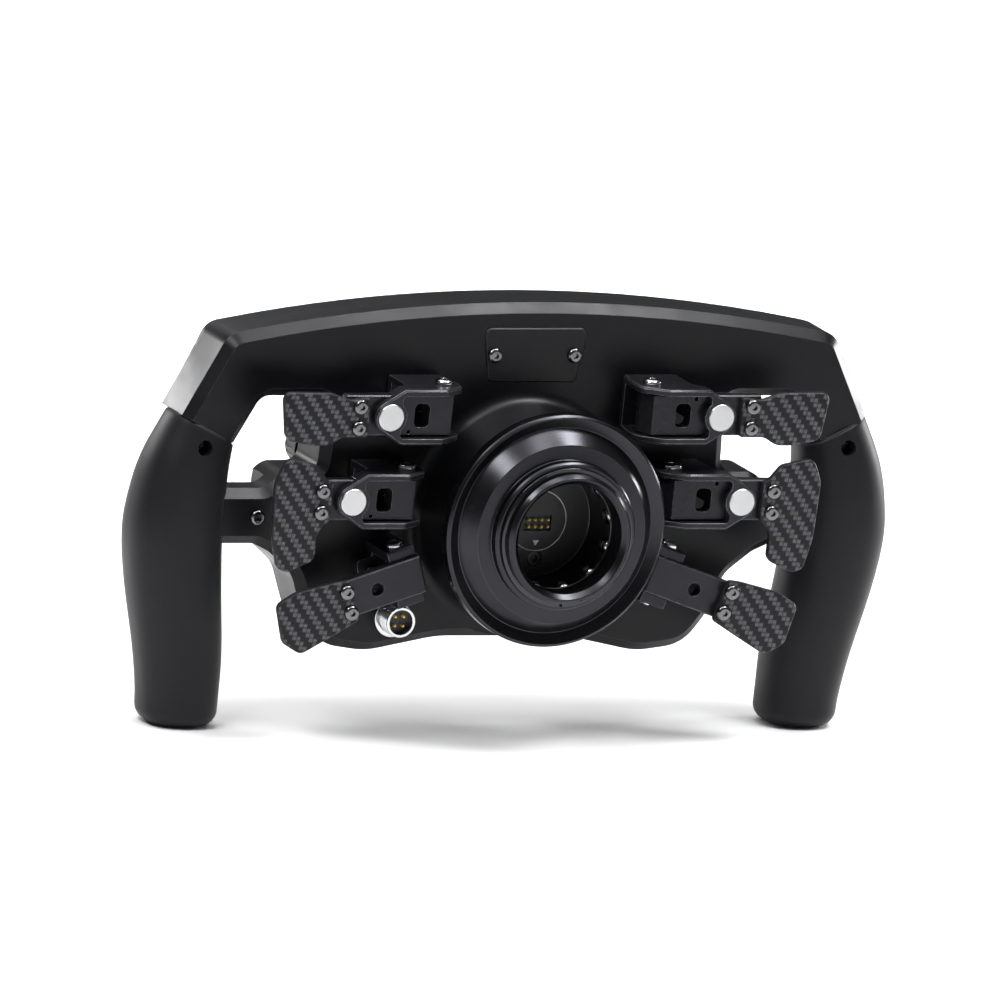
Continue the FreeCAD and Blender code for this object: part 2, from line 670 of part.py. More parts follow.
def build_connector():
    x, z = CONNECTOR_PLACE
    base = size("back_face")
    seat = Placement(Vector(x, base, z), Rotation())
    shell = new_body("connector_shell")
    threads = 5
    pitch = 1.0
    profile = [(4.55, -6.0, 0), (5.0, -6.0, 0), (5.0, 0.02, 0), (7.2, 0.02, 0.3), (7.2, 1.2, 0.3), (5.2, 1.2, 0)]
    for step in range(threads):
        low = 2.1 + pitch * step
        profile += [(5.25, low, 0), (5.75, low + 0.35, 0), (5.75, low + 0.6, 0), (5.25, low + 0.95, 0)]
    profile += [(5.25, SOCKET_MOUTH - 0.9, 0), (5.65, SOCKET_MOUTH - 0.7, 0.2), (5.65, SOCKET_MOUTH, 0.2),
                (4.55, SOCKET_MOUTH, 0.2)]
    turned_about_y(shell, [rounded(profile)])
    shell.Placement = seat
    keep(shell, "connector_shell")
    nut = new_body("connector_nut")
    across = 7.6
    corners = [(across * math.cos(math.radians(60 * step)), across * math.sin(math.radians(60 * step)), 0.4)
               for step in range(6)]
    ring = sketch_on(nut, "XZ_Plane", [rounded(corners), circle(0, 0, 5.05)], "Sizes.back_wall")
    pad(nut, ring, 2.4)
    nut.Placement = seat
    keep(nut, "connector_nut")
    insert = new_body("connector_insert")
    key = box_loop(3.6, 4.5, -0.6, 0.6)
    disc = sketch_on(insert, "XZ_Plane", [circle(0, 0, 4.5)], f"{-(SOCKET_MOUTH - 3.2)}")
    pad(insert, disc, 8)
    cut(insert, sketch_on(insert, "XZ_Plane", [key], f"{-(SOCKET_MOUTH - 3.2)}"), 1.5,
        Reversed=True)
    pins = [(1.62 * across_sign, 1.7 * up_sign) for across_sign in (-1, 1) for up_sign in (-1, 1)]
    holes = [circle(pin_x, pin_z, 0.55) for pin_x, pin_z in pins]
    cut_through(insert, sketch_on(insert, "XZ_Plane", holes))
    insert.Placement = seat
    keep(insert, "connector_insert")
    pin = Part.makeCylinder(0.5, 13.6, Vector(0, -6.6, 0), Vector(0, 1, 0))
    pin = pin.makeChamfer(0.2, [edge for edge in pin.Edges if lies_at(edge, "Y", 7.0)])
    group("connector_pins", [placed(pin, Vector(x + pin_x, base, z + pin_z)) for pin_x, pin_z in pins])


# ---------------------------------------------------------------- magnetic shifters
MAGNET_X = 24.4
TIP_RADIUS = 6.1
REAR = size("back_face") - size("pivot_line")
FRONT = size("bracket_front")
PADDLE_SCREW_X = 36.8
EAR_OUTER_X = 15.6


def teardrop_trim():
    """Region outside the pointed, rounded outboard end of the bracket, seen from the back."""
    half = size("bracket_height") / 2
    start_x = 19.4
    # tangent from the shoulder to the tip's circle
    reach = math.hypot(MAGNET_X - start_x, half)
    lean = math.atan2(-half, MAGNET_X - start_x) + math.asin(TIP_RADIUS / reach)
    along = math.sqrt(reach ** 2 - TIP_RADIUS ** 2)
    touch = (start_x + along * math.cos(lean), half + along * math.sin(lean))
    tip = Vector(MAGNET_X + TIP_RADIUS, 0, 0)
    top = Vector(*touch, 0)
    low = Vector(touch[0], -touch[1], 0)
    shoulder_top = Vector(start_x, half, 0)
    shoulder_low = Vector(start_x, -half, 0)
    far = 40.0
    corners = [Vector(start_x, -20, 0), Vector(far, -20, 0), Vector(far, 20, 0), Vector(start_x, 20, 0)]
    return [
        Part.LineSegment(shoulder_top, top),
        Part.Arc(top, tip, low),
        Part.LineSegment(low, shoulder_low),
        Part.LineSegment(shoulder_low, corners[0]),
        Part.LineSegment(corners[0], corners[1]),
        Part.LineSegment(corners[1], corners[2]),
        Part.LineSegment(corners[2], corners[3]),
        Part.LineSegment(corners[3], shoulder_top),
    ]


def bracket_window():
    """Opening in the web, open inboard, that ends in two rounded pockets beside the magnet's boss."""
    half = size("bracket_gap") / 2
    boss = TIP_RADIUS + 0.2
    end_x = MAGNET_X - 4.2
    boss_z = math.sqrt(boss ** 2 - 4.2 ** 2)
    radius = 1.6
    slant = radius * (1 - math.sqrt(0.5))
    return [
        Part.LineSegment(Vector(-12, half, 0), Vector(end_x - radius, half, 0)),
        Part.Arc(Vector(end_x - radius, half, 0), Vector(end_x - slant, half - slant, 0),
                 Vector(end_x, half - radius, 0)),
        Part.LineSegment(Vector(end_x, half - radius, 0), Vector(end_x, boss_z, 0)),
        Part.Arc(Vector(end_x, boss_z, 0), Vector(MAGNET_X - boss, 0, 0), Vector(end_x, -boss_z, 0)),
        Part.LineSegment(Vector(end_x, -boss_z, 0), Vector(end_x, radius - half, 0)),
        Part.Arc(Vector(end_x, radius - half, 0), Vector(end_x - slant, slant - half, 0),
                 Vector(end_x - radius, -half, 0)),
        Part.LineSegment(Vector(end_x - radius, -half, 0), Vector(-12, -half, 0)),
        Part.LineSegment(Vector(-12, -half, 0), Vector(-12, half, 0)),
    ]


def build_bracket(label, side, pivot):
    """Fork that carries the lever: two ears, a foot plate and a web with the magnet in its tip."""
    body = new_body(label)
    plan = [
        (-4.8, REAR, 0), (-6.3, -4.0, 4.0), (-6.3, 4.0, 5.0), (2.6, FRONT, 3.0), (32.0, FRONT, 0),
        (32.0, 3.4, 0), (EAR_OUTER_X + 2.5, 3.4, 1.5), (EAR_OUTER_X, 0.0, 2.0), (EAR_OUTER_X, REAR, 0),
    ]
    pad(body, sketch_on(body, "XY_Plane", [rounded(plan)]), "Sizes.bracket_height", Midplane=True)
    half = size("bracket_gap") / 2
    inside = box_loop(REAR + 3.0, FRONT - size("bracket_web"), -half, half)
    cut_through(body, sketch_on(body, "YZ_Plane", [inside]))
    cut_through(body, sketch_on(body, "XZ_Plane", [teardrop_trim()]))
    cut(body, sketch_on(body, "XZ_Plane", [bracket_window()], "-Sizes.bracket_front"), "Sizes.bracket_web + 0.5",
        Reversed=True)

    def front_outline(edge):
        flat = lies_at(edge, "Y", FRONT)
        return flat and max(abs(edge.BoundBox.ZMax), abs(edge.BoundBox.ZMin)) > half + 0.6

    edge_treatment(body, "Chamfer", 0.6, front_outline)
    recess = sketch_on(body, "XZ_Plane", [circle(MAGNET_X, 0, 5.0)], "-Sizes.bracket_front")
    bind_circle(recess, 0, "Sizes.magnet_radius + Sizes.running_gap")
    cut(body, recess, "Sizes.magnet_height - 0.5", Reversed=True)
    pin = sketch_on(body, "XY_Plane", [circle(0, 0, 2.0)])
    bind_circle(pin, 0, "Sizes.pin_radius + Sizes.running_gap")
    cut_through(body, pin)
    screws = [circle(x, z, HOLE_RADIUS) for x, z in BRACKET_SCREWS]
    cut(body, sketch_on(body, "XZ_Plane", screws, f"{-(REAR + 3.5)}"), 5, Reversed=True)
    body.Placement = Placement(Vector(side * pivot[0], size("pivot_line"), pivot[1]), module_turn(side))
    keep(body, label)


def build_lever(label, side, pivot):
    """Lever arm: hub round the pivot, adjusting slot, and the pad that the paddle is screwed to."""
    body = new_body(label)
    front = size("lever_front")
    plan = [
        (-1.4, front, 0.4), (-4.2, 0.4, 1.5), (-4.2, -2.5, 3.0), (-1.5, -5.4, 3.0), (3.5, -5.4, 3.0),
        (8.0, 0.9, 6.0), (30.0, 1.6, 4.0), (32.0, 2.1, 4.0), (41.5, 2.1, 1.2), (41.5, front, 0.6),
    ]
    pad(body, sketch_on(body, "XY_Plane", [rounded(plan)]), "Sizes.lever_height", Midplane=True)
    half = size("lever_height") / 2
    edge_treatment(body, "Chamfer", 0.4, lambda edge: lies_at(edge, "Z", half) or lies_at(edge, "Z", -half))
    slot = box_loop(7.6, 13.6, -4.4, 4.4, 2.0)
    mark = circle(15.4, -6.1, 0.75)
    screws = [circle(PADDLE_SCREW_X, sign * size("screw_pitch") / 2, HOLE_RADIUS) for sign in (-1, 1)]
    cut(body, sketch_on(body, "XZ_Plane", [slot, mark] + screws, "-Sizes.lever_front"),
        20, Reversed=True)
    pin = sketch_on(body, "XY_Plane", [circle(0, 0, 2.0)])
    bind_circle(pin, 0, "Sizes.pin_radius + Sizes.running_gap")
    cut_through(body, pin)
    body.Placement = Placement(Vector(side * pivot[0], size("pivot_line"), pivot[1]), module_turn(side))
    keep(body, label)


PADDLES = {
    "upper": [(74.2, 47.4, 1.5), (81.9, 46.2, 8.0), (89.8, 48.9, 10.0), (109.2, 49.2, 3.0), (106.6, 31.3, 4.0),
              (95.5, 29.3, 20.0), (89.4, 29.3, 8.0), (84.4, 32.4, 8.0), (74.2, 32.4, 1.5)],
    "middle": [(85.8, 15.4, 1.5), (88.6, 17.0, 4.0), (92.6, 22.0, 4.0), (105.2, 24.6, 3.5), (108.9, 15.8, 10.0),
               (107.9, -5.1, 25.0), (105.0, -16.6, 3.0), (100.9, -18.0, 3.0), (90.2, -13.4, 4.0), (90.6, -2.6, 8.0),
               (85.8, 1.6, 1.5)],
    "clutch": [(75.7, -20.6, 1.5), (81.2, -21.4, 8.0), (96.3, -25.2, 14.0), (104.0, -30.0, 3.0),
               (100.1, -44.2, 4.0), (92.6, -48.4, 4.0), (81.1, -41.8, 14.0), (70.6, -35.6, 2.0)],
}


def build_paddle(label, side, kind, back, screw_places):
    """Carbon plate with softened edges; back is the y of its face on the lever."""
    body = new_body(label)
    front = back + size("paddle_thickness")
    loops = [rounded(other_side(PADDLES[kind], side))]
    loops += [circle(x, z, HOLE_RADIUS) for x, z in screw_places]
    pad(body, sketch_on(body, "XZ_Plane", loops, f"{-front}"), "Sizes.paddle_thickness")

    def outline(edge):
        flat = lies_at(edge, "Y", front) or lies_at(edge, "Y", back)
        return flat and not is_ring(edge)

    edge_treatment(body, "Fillet", 0.8, outline)
    keep(body, label)


def build_shifter(name, side, level, pivot):
    label = f"{name}_{level}"
    build_bracket(f"{label}_bracket", side, pivot)
    build_lever(f"{label}_lever", side, pivot)
    back = size("pivot_line") + size("lever_front")
    places = [(side * (pivot[0] + PADDLE_SCREW_X), pivot[1] + sign * size("screw_pitch") / 2) for sign in (-1, 1)]
    build_paddle(f"{label}_paddle", side, level, back, places)
    top = back + size("paddle_thickness") + 0.01
    bolt = button_screw(6.5)
    group(f"{label}_paddle_screws", [placed(bolt, Vector(x, top, z), TOWARDS_BACK) for x, z in places])


# ---------------------------------------------------------------- analogue paddles
CLUTCH_SCREW_X = 25.9


def build_clutch_base(label, side):
    """Clevis: foot plate and two ears that the tilted lever turns between."""
    body = new_body(label)
    half = size("clutch_width") / 2 + 0.4
    outer = half + size("clutch_ear")
    section = [
        (REAR, -outer, 0), (5.4, -outer, 0.8), (5.4, -half, 0), (REAR + 3.5, -half, 0),
        (REAR + 3.5, half, 0), (5.4, half, 0), (5.4, outer, 0.8), (REAR, outer, 0),
    ]
    pad(body, sketch_on(body, "YZ_Plane", [rounded(section)], 5.4),
        10.2, Reversed=True)
    pin = sketch_on(body, "XY_Plane", [circle(0, 0, 2.0)])
    bind_circle(pin, 0, "Sizes.pin_radius + Sizes.running_gap")
    cut_through(body, pin)
    foot = box_loop(-4.8, 12.0, -6.0, 6.0, 2.0)
    pad(body, sketch_on(body, "XZ_Plane", [foot], f"{-REAR}"), 3.5,
        Reversed=True)
    screws = [circle(x, z, HOLE_RADIUS) for x, z in CLUTCH_BASE_SCREWS]
    cut(body, sketch_on(body, "XZ_Plane", screws, f"{-(REAR + 4.0)}"), 5, Reversed=True)
    place = Vector(side * CLUTCH_PIVOT[0], size("pivot_line"), CLUTCH_PIVOT[1])
    body.Placement = Placement(place, module_turn(side, size("clutch_tilt")))
    keep(body, label)


def build_clutch_lever(label, side):
    body = new_body(label)
    front = size("clutch_front")
    plan = [
        (-6.0, front, 1.0), (-6.0, 1.0, 3.0), (-2.5, -3.6, 3.0), (3.0, -3.6, 3.0), (6.5, 3.2, 4.0),
        (30.5, 3.2, 1.0), (30.5, front, 0.6),
    ]
    pad(body, sketch_on(body, "XY_Plane", [rounded(plan)]), "Sizes.clutch_width", Midplane=True)
    half = size("clutch_width") / 2
    edge_treatment(body, "Chamfer", 0.4, lambda edge: lies_at(edge, "Z", half) or lies_at(edge, "Z", -half))
    hole = circle(12.9, 0, 2.5)
    screws = [circle(CLUTCH_SCREW_X, sign * size("screw_pitch") / 2, HOLE_RADIUS) for sign in (-1, 1)]
    cut(body, sketch_on(body, "XZ_Plane", [hole] + screws, "-Sizes.clutch_front"), 20,
        Reversed=True)
    pin = sketch_on(body, "XY_Plane", [circle(0, 0, 2.0)])
    bind_circle(pin, 0, "Sizes.pin_radius + Sizes.running_gap")
    cut_through(body, pin)
    place = Vector(side * CLUTCH_PIVOT[0], size("pivot_line"), CLUTCH_PIVOT[1])
    body.Placement = Placement(place, module_turn(side, size("clutch_tilt")))
    keep(body, label)


def build_clutch(name, side):
    build_clutch_base(f"{name}_clutch_base", side)
    build_clutch_lever(f"{name}_clutch_lever", side)
    back = size("pivot_line") + size("clutch_front")
    half = size("screw_pitch") / 2
    tilt = size("clutch_tilt")
    places = [module_point(side, CLUTCH_PIVOT, tilt, CLUTCH_SCREW_X, sign * half) for sign in (-1, 1)]
    build_paddle(f"{name}_clutch_paddle", side, "clutch", back, places)
    top = back + size("paddle_thickness") + 0.01
    bolt = button_screw(6.5)
    group(f"{name}_clutch_paddle_screws", [placed(bolt, Vector(x, top, z), TOWARDS_BACK) for x, z in places])


def build_module_trim():
    """Magnets, pivot pins, switches and all the M3 screws of the fixed parts."""
    magnet = Part.makeCylinder(size("magnet_radius"), size("magnet_height") - 0.02, Vector(), Vector(0, 1, 0))
    magnet = magnet.makeChamfer(0.25, [edge for edge in magnet.Edges
                                       if lies_at(edge, "Y", size("magnet_height") - 0.02)])
    magnet_back = size("pivot_line") + FRONT - size("magnet_height") + 0.51
    magnets, pins, switches = [], [], []
    half = size("bracket_height") / 2
    pin = screw(3.4, 1.9, size("pin_radius"), size("bracket_height") + 0.6, 1.4, 1.3)
    clutch_half = size("clutch_width") / 2 + 0.4 + size("clutch_ear")
    long_pin = screw(3.4, 1.9, size("pin_radius"), 2 * clutch_half + 0.6, 1.4, 1.3)
    body = Part.makeBox(12.0, 12.0, 6.0, Vector(-6.0, 0, -3.0))
    plunger = Part.makeCylinder(0.9, 1.2, Vector(2.0, 12.0, 0), Vector(0, 1, 0))
    switch = body.fuse(plunger)
    for side in SIDES.values():
        for pivot in SHIFTERS.values():
            magnets.append(placed(magnet, Vector(side * (pivot[0] + MAGNET_X), magnet_back, pivot[1])))
            pins.append(placed(pin, Vector(side * pivot[0], size("pivot_line"), pivot[1] + half + 0.01)))
            switches.append(placed(switch, Vector(side * (pivot[0] + 22.2), size("back_face") + 0.01, pivot[1])))
        tilt = module_turn(side, size("clutch_tilt"))
        lean = tilt if side > 0 else tilt * Rotation(Vector(0, 1, 0), 180)
        head = lean.multVec(Vector(0, 0, clutch_half + 0.01))
        centre = Vector(side * CLUTCH_PIVOT[0], size("pivot_line"), CLUTCH_PIVOT[1])
        pins.append(placed(long_pin, centre + head, lean))
    group("bracket_magnets", magnets)
    group("pivot_pins", pins)
    group("shifter_switches", switches)
    screws = []
    cover_top = size("back_face") - size("cover_recess") + size("cover_thickness") + 0.01
    screws += [placed(button_screw(5.0), Vector(x, cover_top, z), TOWARDS_BACK) for x, z in COVER_SCREWS]
    screws += [placed(button_screw(6.0), Vector(x, size("back_face") + 0.01, z), TOWARDS_BACK)
               for x, z in SPOKE_SCREWS]
    foot_top = size("back_face") + 3.01
    for x, z in bracket_screw_places:
        lift = 0.5 if (abs(x), z) in clutch_screw_places() else 0.0
        screws.append(placed(button_screw(7.0), Vector(x, foot_top + lift, z), TOWARDS_BACK))
    plate_top = front_face - size("plate_thickness") - 0.01
    screws += [placed(button_screw(9.0), Vector(x, plate_top, z), TOWARDS_FRONT) for x, z in FRONT_SCREWS]
    screws += [placed(button_screw(5.0), Vector(side * GRIP_SCREW[0], size("core_back") + 0.01, GRIP_SCREW[1]),
                      TOWARDS_BACK) for side in SIDES.values()]
    group("housing_screws", screws)


def clutch_screw_places():
    tilt = size("clutch_tilt")
    places = [module_point(side, CLUTCH_PIVOT, tilt, x, z) for side in SIDES.values() for x, z in CLUTCH_BASE_SCREWS]
    return [(abs(x), z) for x, z in places]


# ---------------------------------------------------------------- driver's side
PLATE_HALF = [
    (0.0, 86.4, 620.0), (120.4, 64.0, 8.0), (131.4, 39.4, 3.0), (113.6, 30.8, 3.0), (106.7, 43.6, 6.0),
    (77.5, 43.6, 4.0), (78.4, 11.2, 5.0), (96.0, 11.2, 5.0), (96.0, -15.0, 4.0),
    (84.9, -23.6, 12.0), (78.8, -39.2, 20.0), (71.2, -49.0, 16.0), (54.0, -51.6, 30.0), (26.0, -46.0, 50.0),
]
BUTTONS = [(52.0, 56.5), (76.5, 54.5), (58.5, 33.0), (62.0, -12.0)]
KNOBS = {"thumb": (70.5, 16.0, 8.0), "rotary": (34.0, -32.0, 9.5)}


def build_front():
    plate = new_body("front_plate")
    front = [circle(side * x, z, size("button_radius") + 0.4) for side in SIDES.values() for x, z in BUTTONS]
    front += [circle(side * x, z, size("shaft_radius") + 0.4) for side in SIDES.values()
              for x, z, radius in KNOBS.values()]
    front += [circle(x, z, HOLE_RADIUS) for x, z in FRONT_SCREWS]
    outline = sketch_on(plate, "XZ_Plane", [mirrored(PLATE_HALF)] + front, f"{-front_face}")
    pad(plate, outline, "Sizes.plate_thickness")
    keep(plate, "front_plate")
    bezel = new_body("bezel_master")
    face = front_face - size("plate_thickness") - 0.01
    low, high = size("button_radius") + 0.4, size("bezel_radius")
    tall = size("bezel_height")
    turned_about_y(bezel, [rounded([(low, 0, 0), (high, 0, 0), (high - 0.6, -tall, 0.6), (low, -tall, 0.3)])])
    rings = [placed(bezel.Shape, Vector(side * x, face, z)) for side in SIDES.values() for x, z in BUTTONS]
    group("button_bezels", rings)
    board = new_body("circuit_board")
    loops = [mirrored([(0.0, 66.0, 0.0), (72.0, 60.0, 4.0), (72.0, -36.0, 6.0), (60.0, -40.0, 4.0),
                       (0.0, -40.0, 0.0)]), circle(0, 0, 37.0)]
    pad(board, sketch_on(board, "XZ_Plane", loops, -BOARD_BACK), 1.6)
    keep(board, "circuit_board")


def build_controls():
    plate_front = front_face - size("plate_thickness")
    for name, side in SIDES.items():
        for number, (x, z) in enumerate(BUTTONS, start=1):
            cap = new_body(f"{name}_button_{number}")
            radius, stem = size("button_radius"), 3.5
            height = size("button_height")
            profile = [(0, -height, 0), (radius - 0.8, -height, 0), (radius, -height + 0.9, 0.6), (radius, 3.8, 0),
                       (radius + 1.2, 3.8, 0), (radius + 1.2, 5.0, 0), (stem, 5.0, 0), (stem, 9.0, 0), (0, 9.0, 0)]
            turned_about_y(cap, [rounded(profile)])
            cap.Placement = Placement(Vector(side * x, plate_front, z), Rotation())
            keep(cap, f"{name}_button_{number}")
        for kind, (x, z, radius) in KNOBS.items():
            build_knob(f"{name}_{kind}_knob", side * x, z, radius, plate_front)


RIBS = 18


def build_knob(label, x, z, radius, plate_front):
    """Turned knob with a ribbed rim and an index slot, on its own shaft."""
    knob = new_body(label)
    tall = size("knob_height")
    shaft = size("shaft_radius")
    profile = [(0, -tall, 0), (radius - 1.0, -tall, 0.8), (radius, -tall + 1.6, 0.8), (radius, -3.0, 0.5),
               (radius + 1.0, -2.0, 0.3), (radius + 1.0, -0.5, 0.3), (shaft, -0.5, 0), (shaft, 3.9, 0),
               (shaft + 1.8, 3.9, 0), (shaft + 1.8, 5.4, 0), (shaft, 5.4, 0), (shaft, 8.0, 0), (0, 8.0, 0)]
    turned_about_y(knob, [rounded(profile)])
    groove = cut(knob, sketch_on(knob, "XZ_Plane", [circle(radius + 0.25, 0, 0.75)], 3),
                 "Sizes.knob_height - 4.5", Reversed=True)
    polar = knob.newObject("PartDesign::PolarPattern", f"{knob.Name}_ribs")
    polar.Originals = [groove]
    axis = [part for part in knob.Origin.OriginFeatures if part.Role == "Y_Axis"][0]
    polar.Axis = (axis, [""])
    polar.Angle = 360
    polar.Occurrences = RIBS
    knob.Tip = polar
    doc.recompute()
    index = box_loop(-0.6, 0.6, radius * 0.35, radius + 1.0)
    cut(knob, sketch_on(knob, "XZ_Plane", [index], "Sizes.knob_height"), 0.8)
    knob.Placement = Placement(Vector(x, plate_front, z), Rotation())
    keep(knob, label)


# ---------------------------------------------------------------- build and write
build_housing()
for side_name, side_sign in SIDES.items():
    build_grip(side_name, side_sign)
build_cover()
build_sleeve()
build_collar()
build_retaining_ring()
build_balls()
build_spring()
build_contact_plate()
build_contacts()
build_hub_screws()
build_connector()
for side_name, side_sign in SIDES.items():
    for level_name, level_pivot in SHIFTERS.items():
        build_shifter(side_name, side_sign, level_name, level_pivot)
    build_clutch(side_name, side_sign)
build_module_trim()
build_front()
build_controls()
doc.recompute()

for item in doc.Objects:
    if "Invalid" in item.State or "Error" in item.State:
        raise RuntimeError(f"{item.Name} failed: {item.State}")
labels = [part.Label for part in nodes]
if len(set(labels)) != len(labels):
    raise RuntimeError("two sub-parts share a name")
for part in nodes:
    if part.Shape.isNull() or not part.Shape.isValid():
        raise RuntimeError(f"{part.Label} has no valid shape")

os.makedirs("parts", exist_ok=True)
for part in nodes:
    part.Shape.exportStep(os.path.join("parts", f"{part.Label}.step"))
print(len(nodes), "sub-parts written")
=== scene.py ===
"""Racing wheel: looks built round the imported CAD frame. Everything is in metres in the frame of the CAD."""
import math

import bmesh
import bpy
from mathutils import Matrix, Vector


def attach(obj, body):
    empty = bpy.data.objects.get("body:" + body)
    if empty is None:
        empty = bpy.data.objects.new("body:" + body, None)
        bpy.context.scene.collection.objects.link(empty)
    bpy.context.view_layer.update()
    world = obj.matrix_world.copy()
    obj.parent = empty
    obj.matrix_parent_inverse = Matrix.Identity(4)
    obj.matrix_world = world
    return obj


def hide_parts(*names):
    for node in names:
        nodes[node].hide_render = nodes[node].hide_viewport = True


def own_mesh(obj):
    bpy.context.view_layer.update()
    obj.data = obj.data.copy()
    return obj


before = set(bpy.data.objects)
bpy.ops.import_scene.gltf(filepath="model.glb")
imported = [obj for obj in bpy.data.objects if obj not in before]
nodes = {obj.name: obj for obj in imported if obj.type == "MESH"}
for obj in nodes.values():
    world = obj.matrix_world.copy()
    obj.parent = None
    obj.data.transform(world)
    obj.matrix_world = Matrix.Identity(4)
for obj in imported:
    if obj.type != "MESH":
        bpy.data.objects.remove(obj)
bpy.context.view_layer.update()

MM = 0.001
SIDES = {"right": 1, "left": -1}
# right-hand knobs on the driver's side: x, z and radius
KNOBS = {"thumb": (70.5, 16.0, 8.0), "rotary": (34.0, -32.0, 9.5)}
PLATE_FRONT = -70.5
KNOB_TOP = PLATE_FRONT - 13.0
CONTACT_FLOOR = -28.0


# ---------------------------------------------------------------- node helpers
class Graph:
    """Small helper that builds a material's node tree."""

    def __init__(self, name):
        self.material = bpy.data.materials.new(name)
        self.material.use_nodes = True
        self.tree = self.material.node_tree
        self.shader = self.tree.nodes["Principled BSDF"]

    def node(self, kind, **settings):
        made = self.tree.nodes.new(kind)
        for key, value in settings.items():
            setattr(made, key, value)
        return made

    def link(self, source, target):
        self.tree.links.new(source, target)

    def feed(self, socket, value):
        if isinstance(value, bpy.types.NodeSocket):
            self.link(value, socket)
        else:
            socket.default_value = value

    def math(self, operation, *values):
        made = self.node("ShaderNodeMath", operation=operation)
        for socket, value in zip(made.inputs, values):
            self.feed(socket, value)
        return made.outputs[0]

    def place(self):
        """Object coordinates, which are the frame's own, in metres."""
        return self.node("ShaderNodeTexCoord").outputs["Object"]

    def axes(self):
        split = self.node("ShaderNodeSeparateXYZ")
        self.link(self.place(), split.inputs[0])
        return split.outputs

    def noise(self, scale, detail=3.0):
        made = self.node("ShaderNodeTexNoise")
        made.inputs["Scale"].default_value = scale
        made.inputs["Detail"].default_value = detail
        made.inputs["Roughness"].default_value = 0.55
        self.link(self.place(), made.inputs["Vector"])
        return made.outputs["Fac"]

    def remap(self, value, low, high, to_low, to_high):
        made = self.node("ShaderNodeMapRange")
        self.link(value, made.inputs["Value"])
        limits = {"From Min": low, "From Max": high, "To Min": to_low, "To Max": to_high}
        for name, number in limits.items():
            made.inputs[name].default_value = number
        return made.outputs["Result"]

    def mix(self, factor, first, second):
        made = self.node("ShaderNodeMix", data_type="RGBA")
        self.feed(made.inputs["Factor"], factor)
        self.feed(made.inputs["A"], (*first, 1.0) if isinstance(first, tuple) else first)
        self.feed(made.inputs["B"], (*second, 1.0) if isinstance(second, tuple) else second)
        return made.outputs["Result"]

    def soft_edges(self, radius):
        """Normal with the edges rounded by a small radius."""
        made = self.node("ShaderNodeBevel", samples=4)
        made.inputs["Radius"].default_value = radius
        return made.outputs["Normal"]

    def edge_mask(self, normal):
        """1 on edges and 0 on flats, from how far the rounded normal leaves the true one."""
        geometry = self.node("ShaderNodeNewGeometry")
        dot = self.node("ShaderNodeVectorMath", operation="DOT_PRODUCT")
        self.link(normal, dot.inputs[0])
        self.link(geometry.outputs["Normal"], dot.inputs[1])
        return self.remap(dot.outputs["Value"], 0.995, 0.93, 0.0, 1.0)

    def bump(self, height, distance, strength=1.0, normal=None):
        made = self.node("ShaderNodeBump")
        made.inputs["Distance"].default_value = distance
        made.inputs["Strength"].default_value = strength
        self.link(height, made.inputs["Height"])
        if normal is not None:
            self.link(normal, made.inputs["Normal"])
        return made.outputs["Normal"]

    def finish(self, colour, roughness, metallic=0.0, normal=None, **constants):
        shader = self.shader
        self.feed(shader.inputs["Base Color"], (*colour, 1.0) if isinstance(colour, tuple) else colour)
        self.feed(shader.inputs["Roughness"], roughness)
        shader.inputs["Metallic"].default_value = metallic
        if normal is not None:
            self.link(normal, shader.inputs["Normal"])
        for name, value in constants.items():
            shader.inputs[name.replace("_", " ")].default_value = value
        return self.material


def scaled(colour, factor):
    """Colour made darker or lighter, never past white."""
    return tuple(min(1.0, channel * factor) for channel in colour)


def anodised(name, colour, roughness, edge, grain, metallic, radius):
    """Anodised aluminium: fine blasted grain, slight cloudiness, and edges painted lighter in patches: a
    painted highlight on the edges, with some wear.
    """
    graph = Graph(name)
    soft = graph.soft_edges(radius)
    cloud = graph.noise(60.0)
    fine = graph.noise(2600.0, 2.0)
    rough = graph.remap(cloud, 0.3, 0.7, roughness - 0.05, roughness + 0.06)
    tint = graph.mix(graph.remap(cloud, 0.3, 0.7, 0.0, 1.0), scaled(colour, 0.85), scaled(colour, 1.2))
    # Edges painted towards the edge colour in patches: a painted highlight along the edges together with
    # wear.
    patches = graph.remap(graph.noise(400.0), 0.35, 0.6, 0.4, 1.0)
    edge_highlight_and_wear = graph.math("MULTIPLY", graph.edge_mask(soft), patches)
    tint = graph.mix(edge_highlight_and_wear, tint, edge)
    normal = graph.bump(fine, 0.00004 * (1 + grain), 0.25 + grain, soft)
    return graph.finish(tint, rough, metallic, normal, Specular_IOR_Level=0.3)


def turned_metal(name, colour, roughness, metallic):
    """Lathe-turned, anodised metal: very fine grooves round the hub axis."""
    groove_pitch = 0.00022
    graph = Graph(name)
    soft = graph.soft_edges(0.00025)
    x, y, z = graph.axes()
    squares = graph.math("ADD", graph.math("MULTIPLY", x, x), graph.math("MULTIPLY", z, z))
    along = graph.math("ADD", graph.math("SQRT", squares), y)
    groove = graph.math("SINE", graph.math("MULTIPLY", along, 2 * math.pi / groove_pitch))
    cloud = graph.noise(45.0)
    normal = graph.bump(groove, 0.000002, 0.5, soft)
    # Edges painted lighter: a painted highlight.
    edge = graph.math("MULTIPLY", graph.edge_mask(soft), 0.35)
    tint = graph.mix(edge, colour, (0.35, 0.35, 0.36))
    rough = graph.remap(cloud, 0.3, 0.7, roughness - 0.03, roughness + 0.05)
    return graph.finish(tint, rough, metallic, normal)


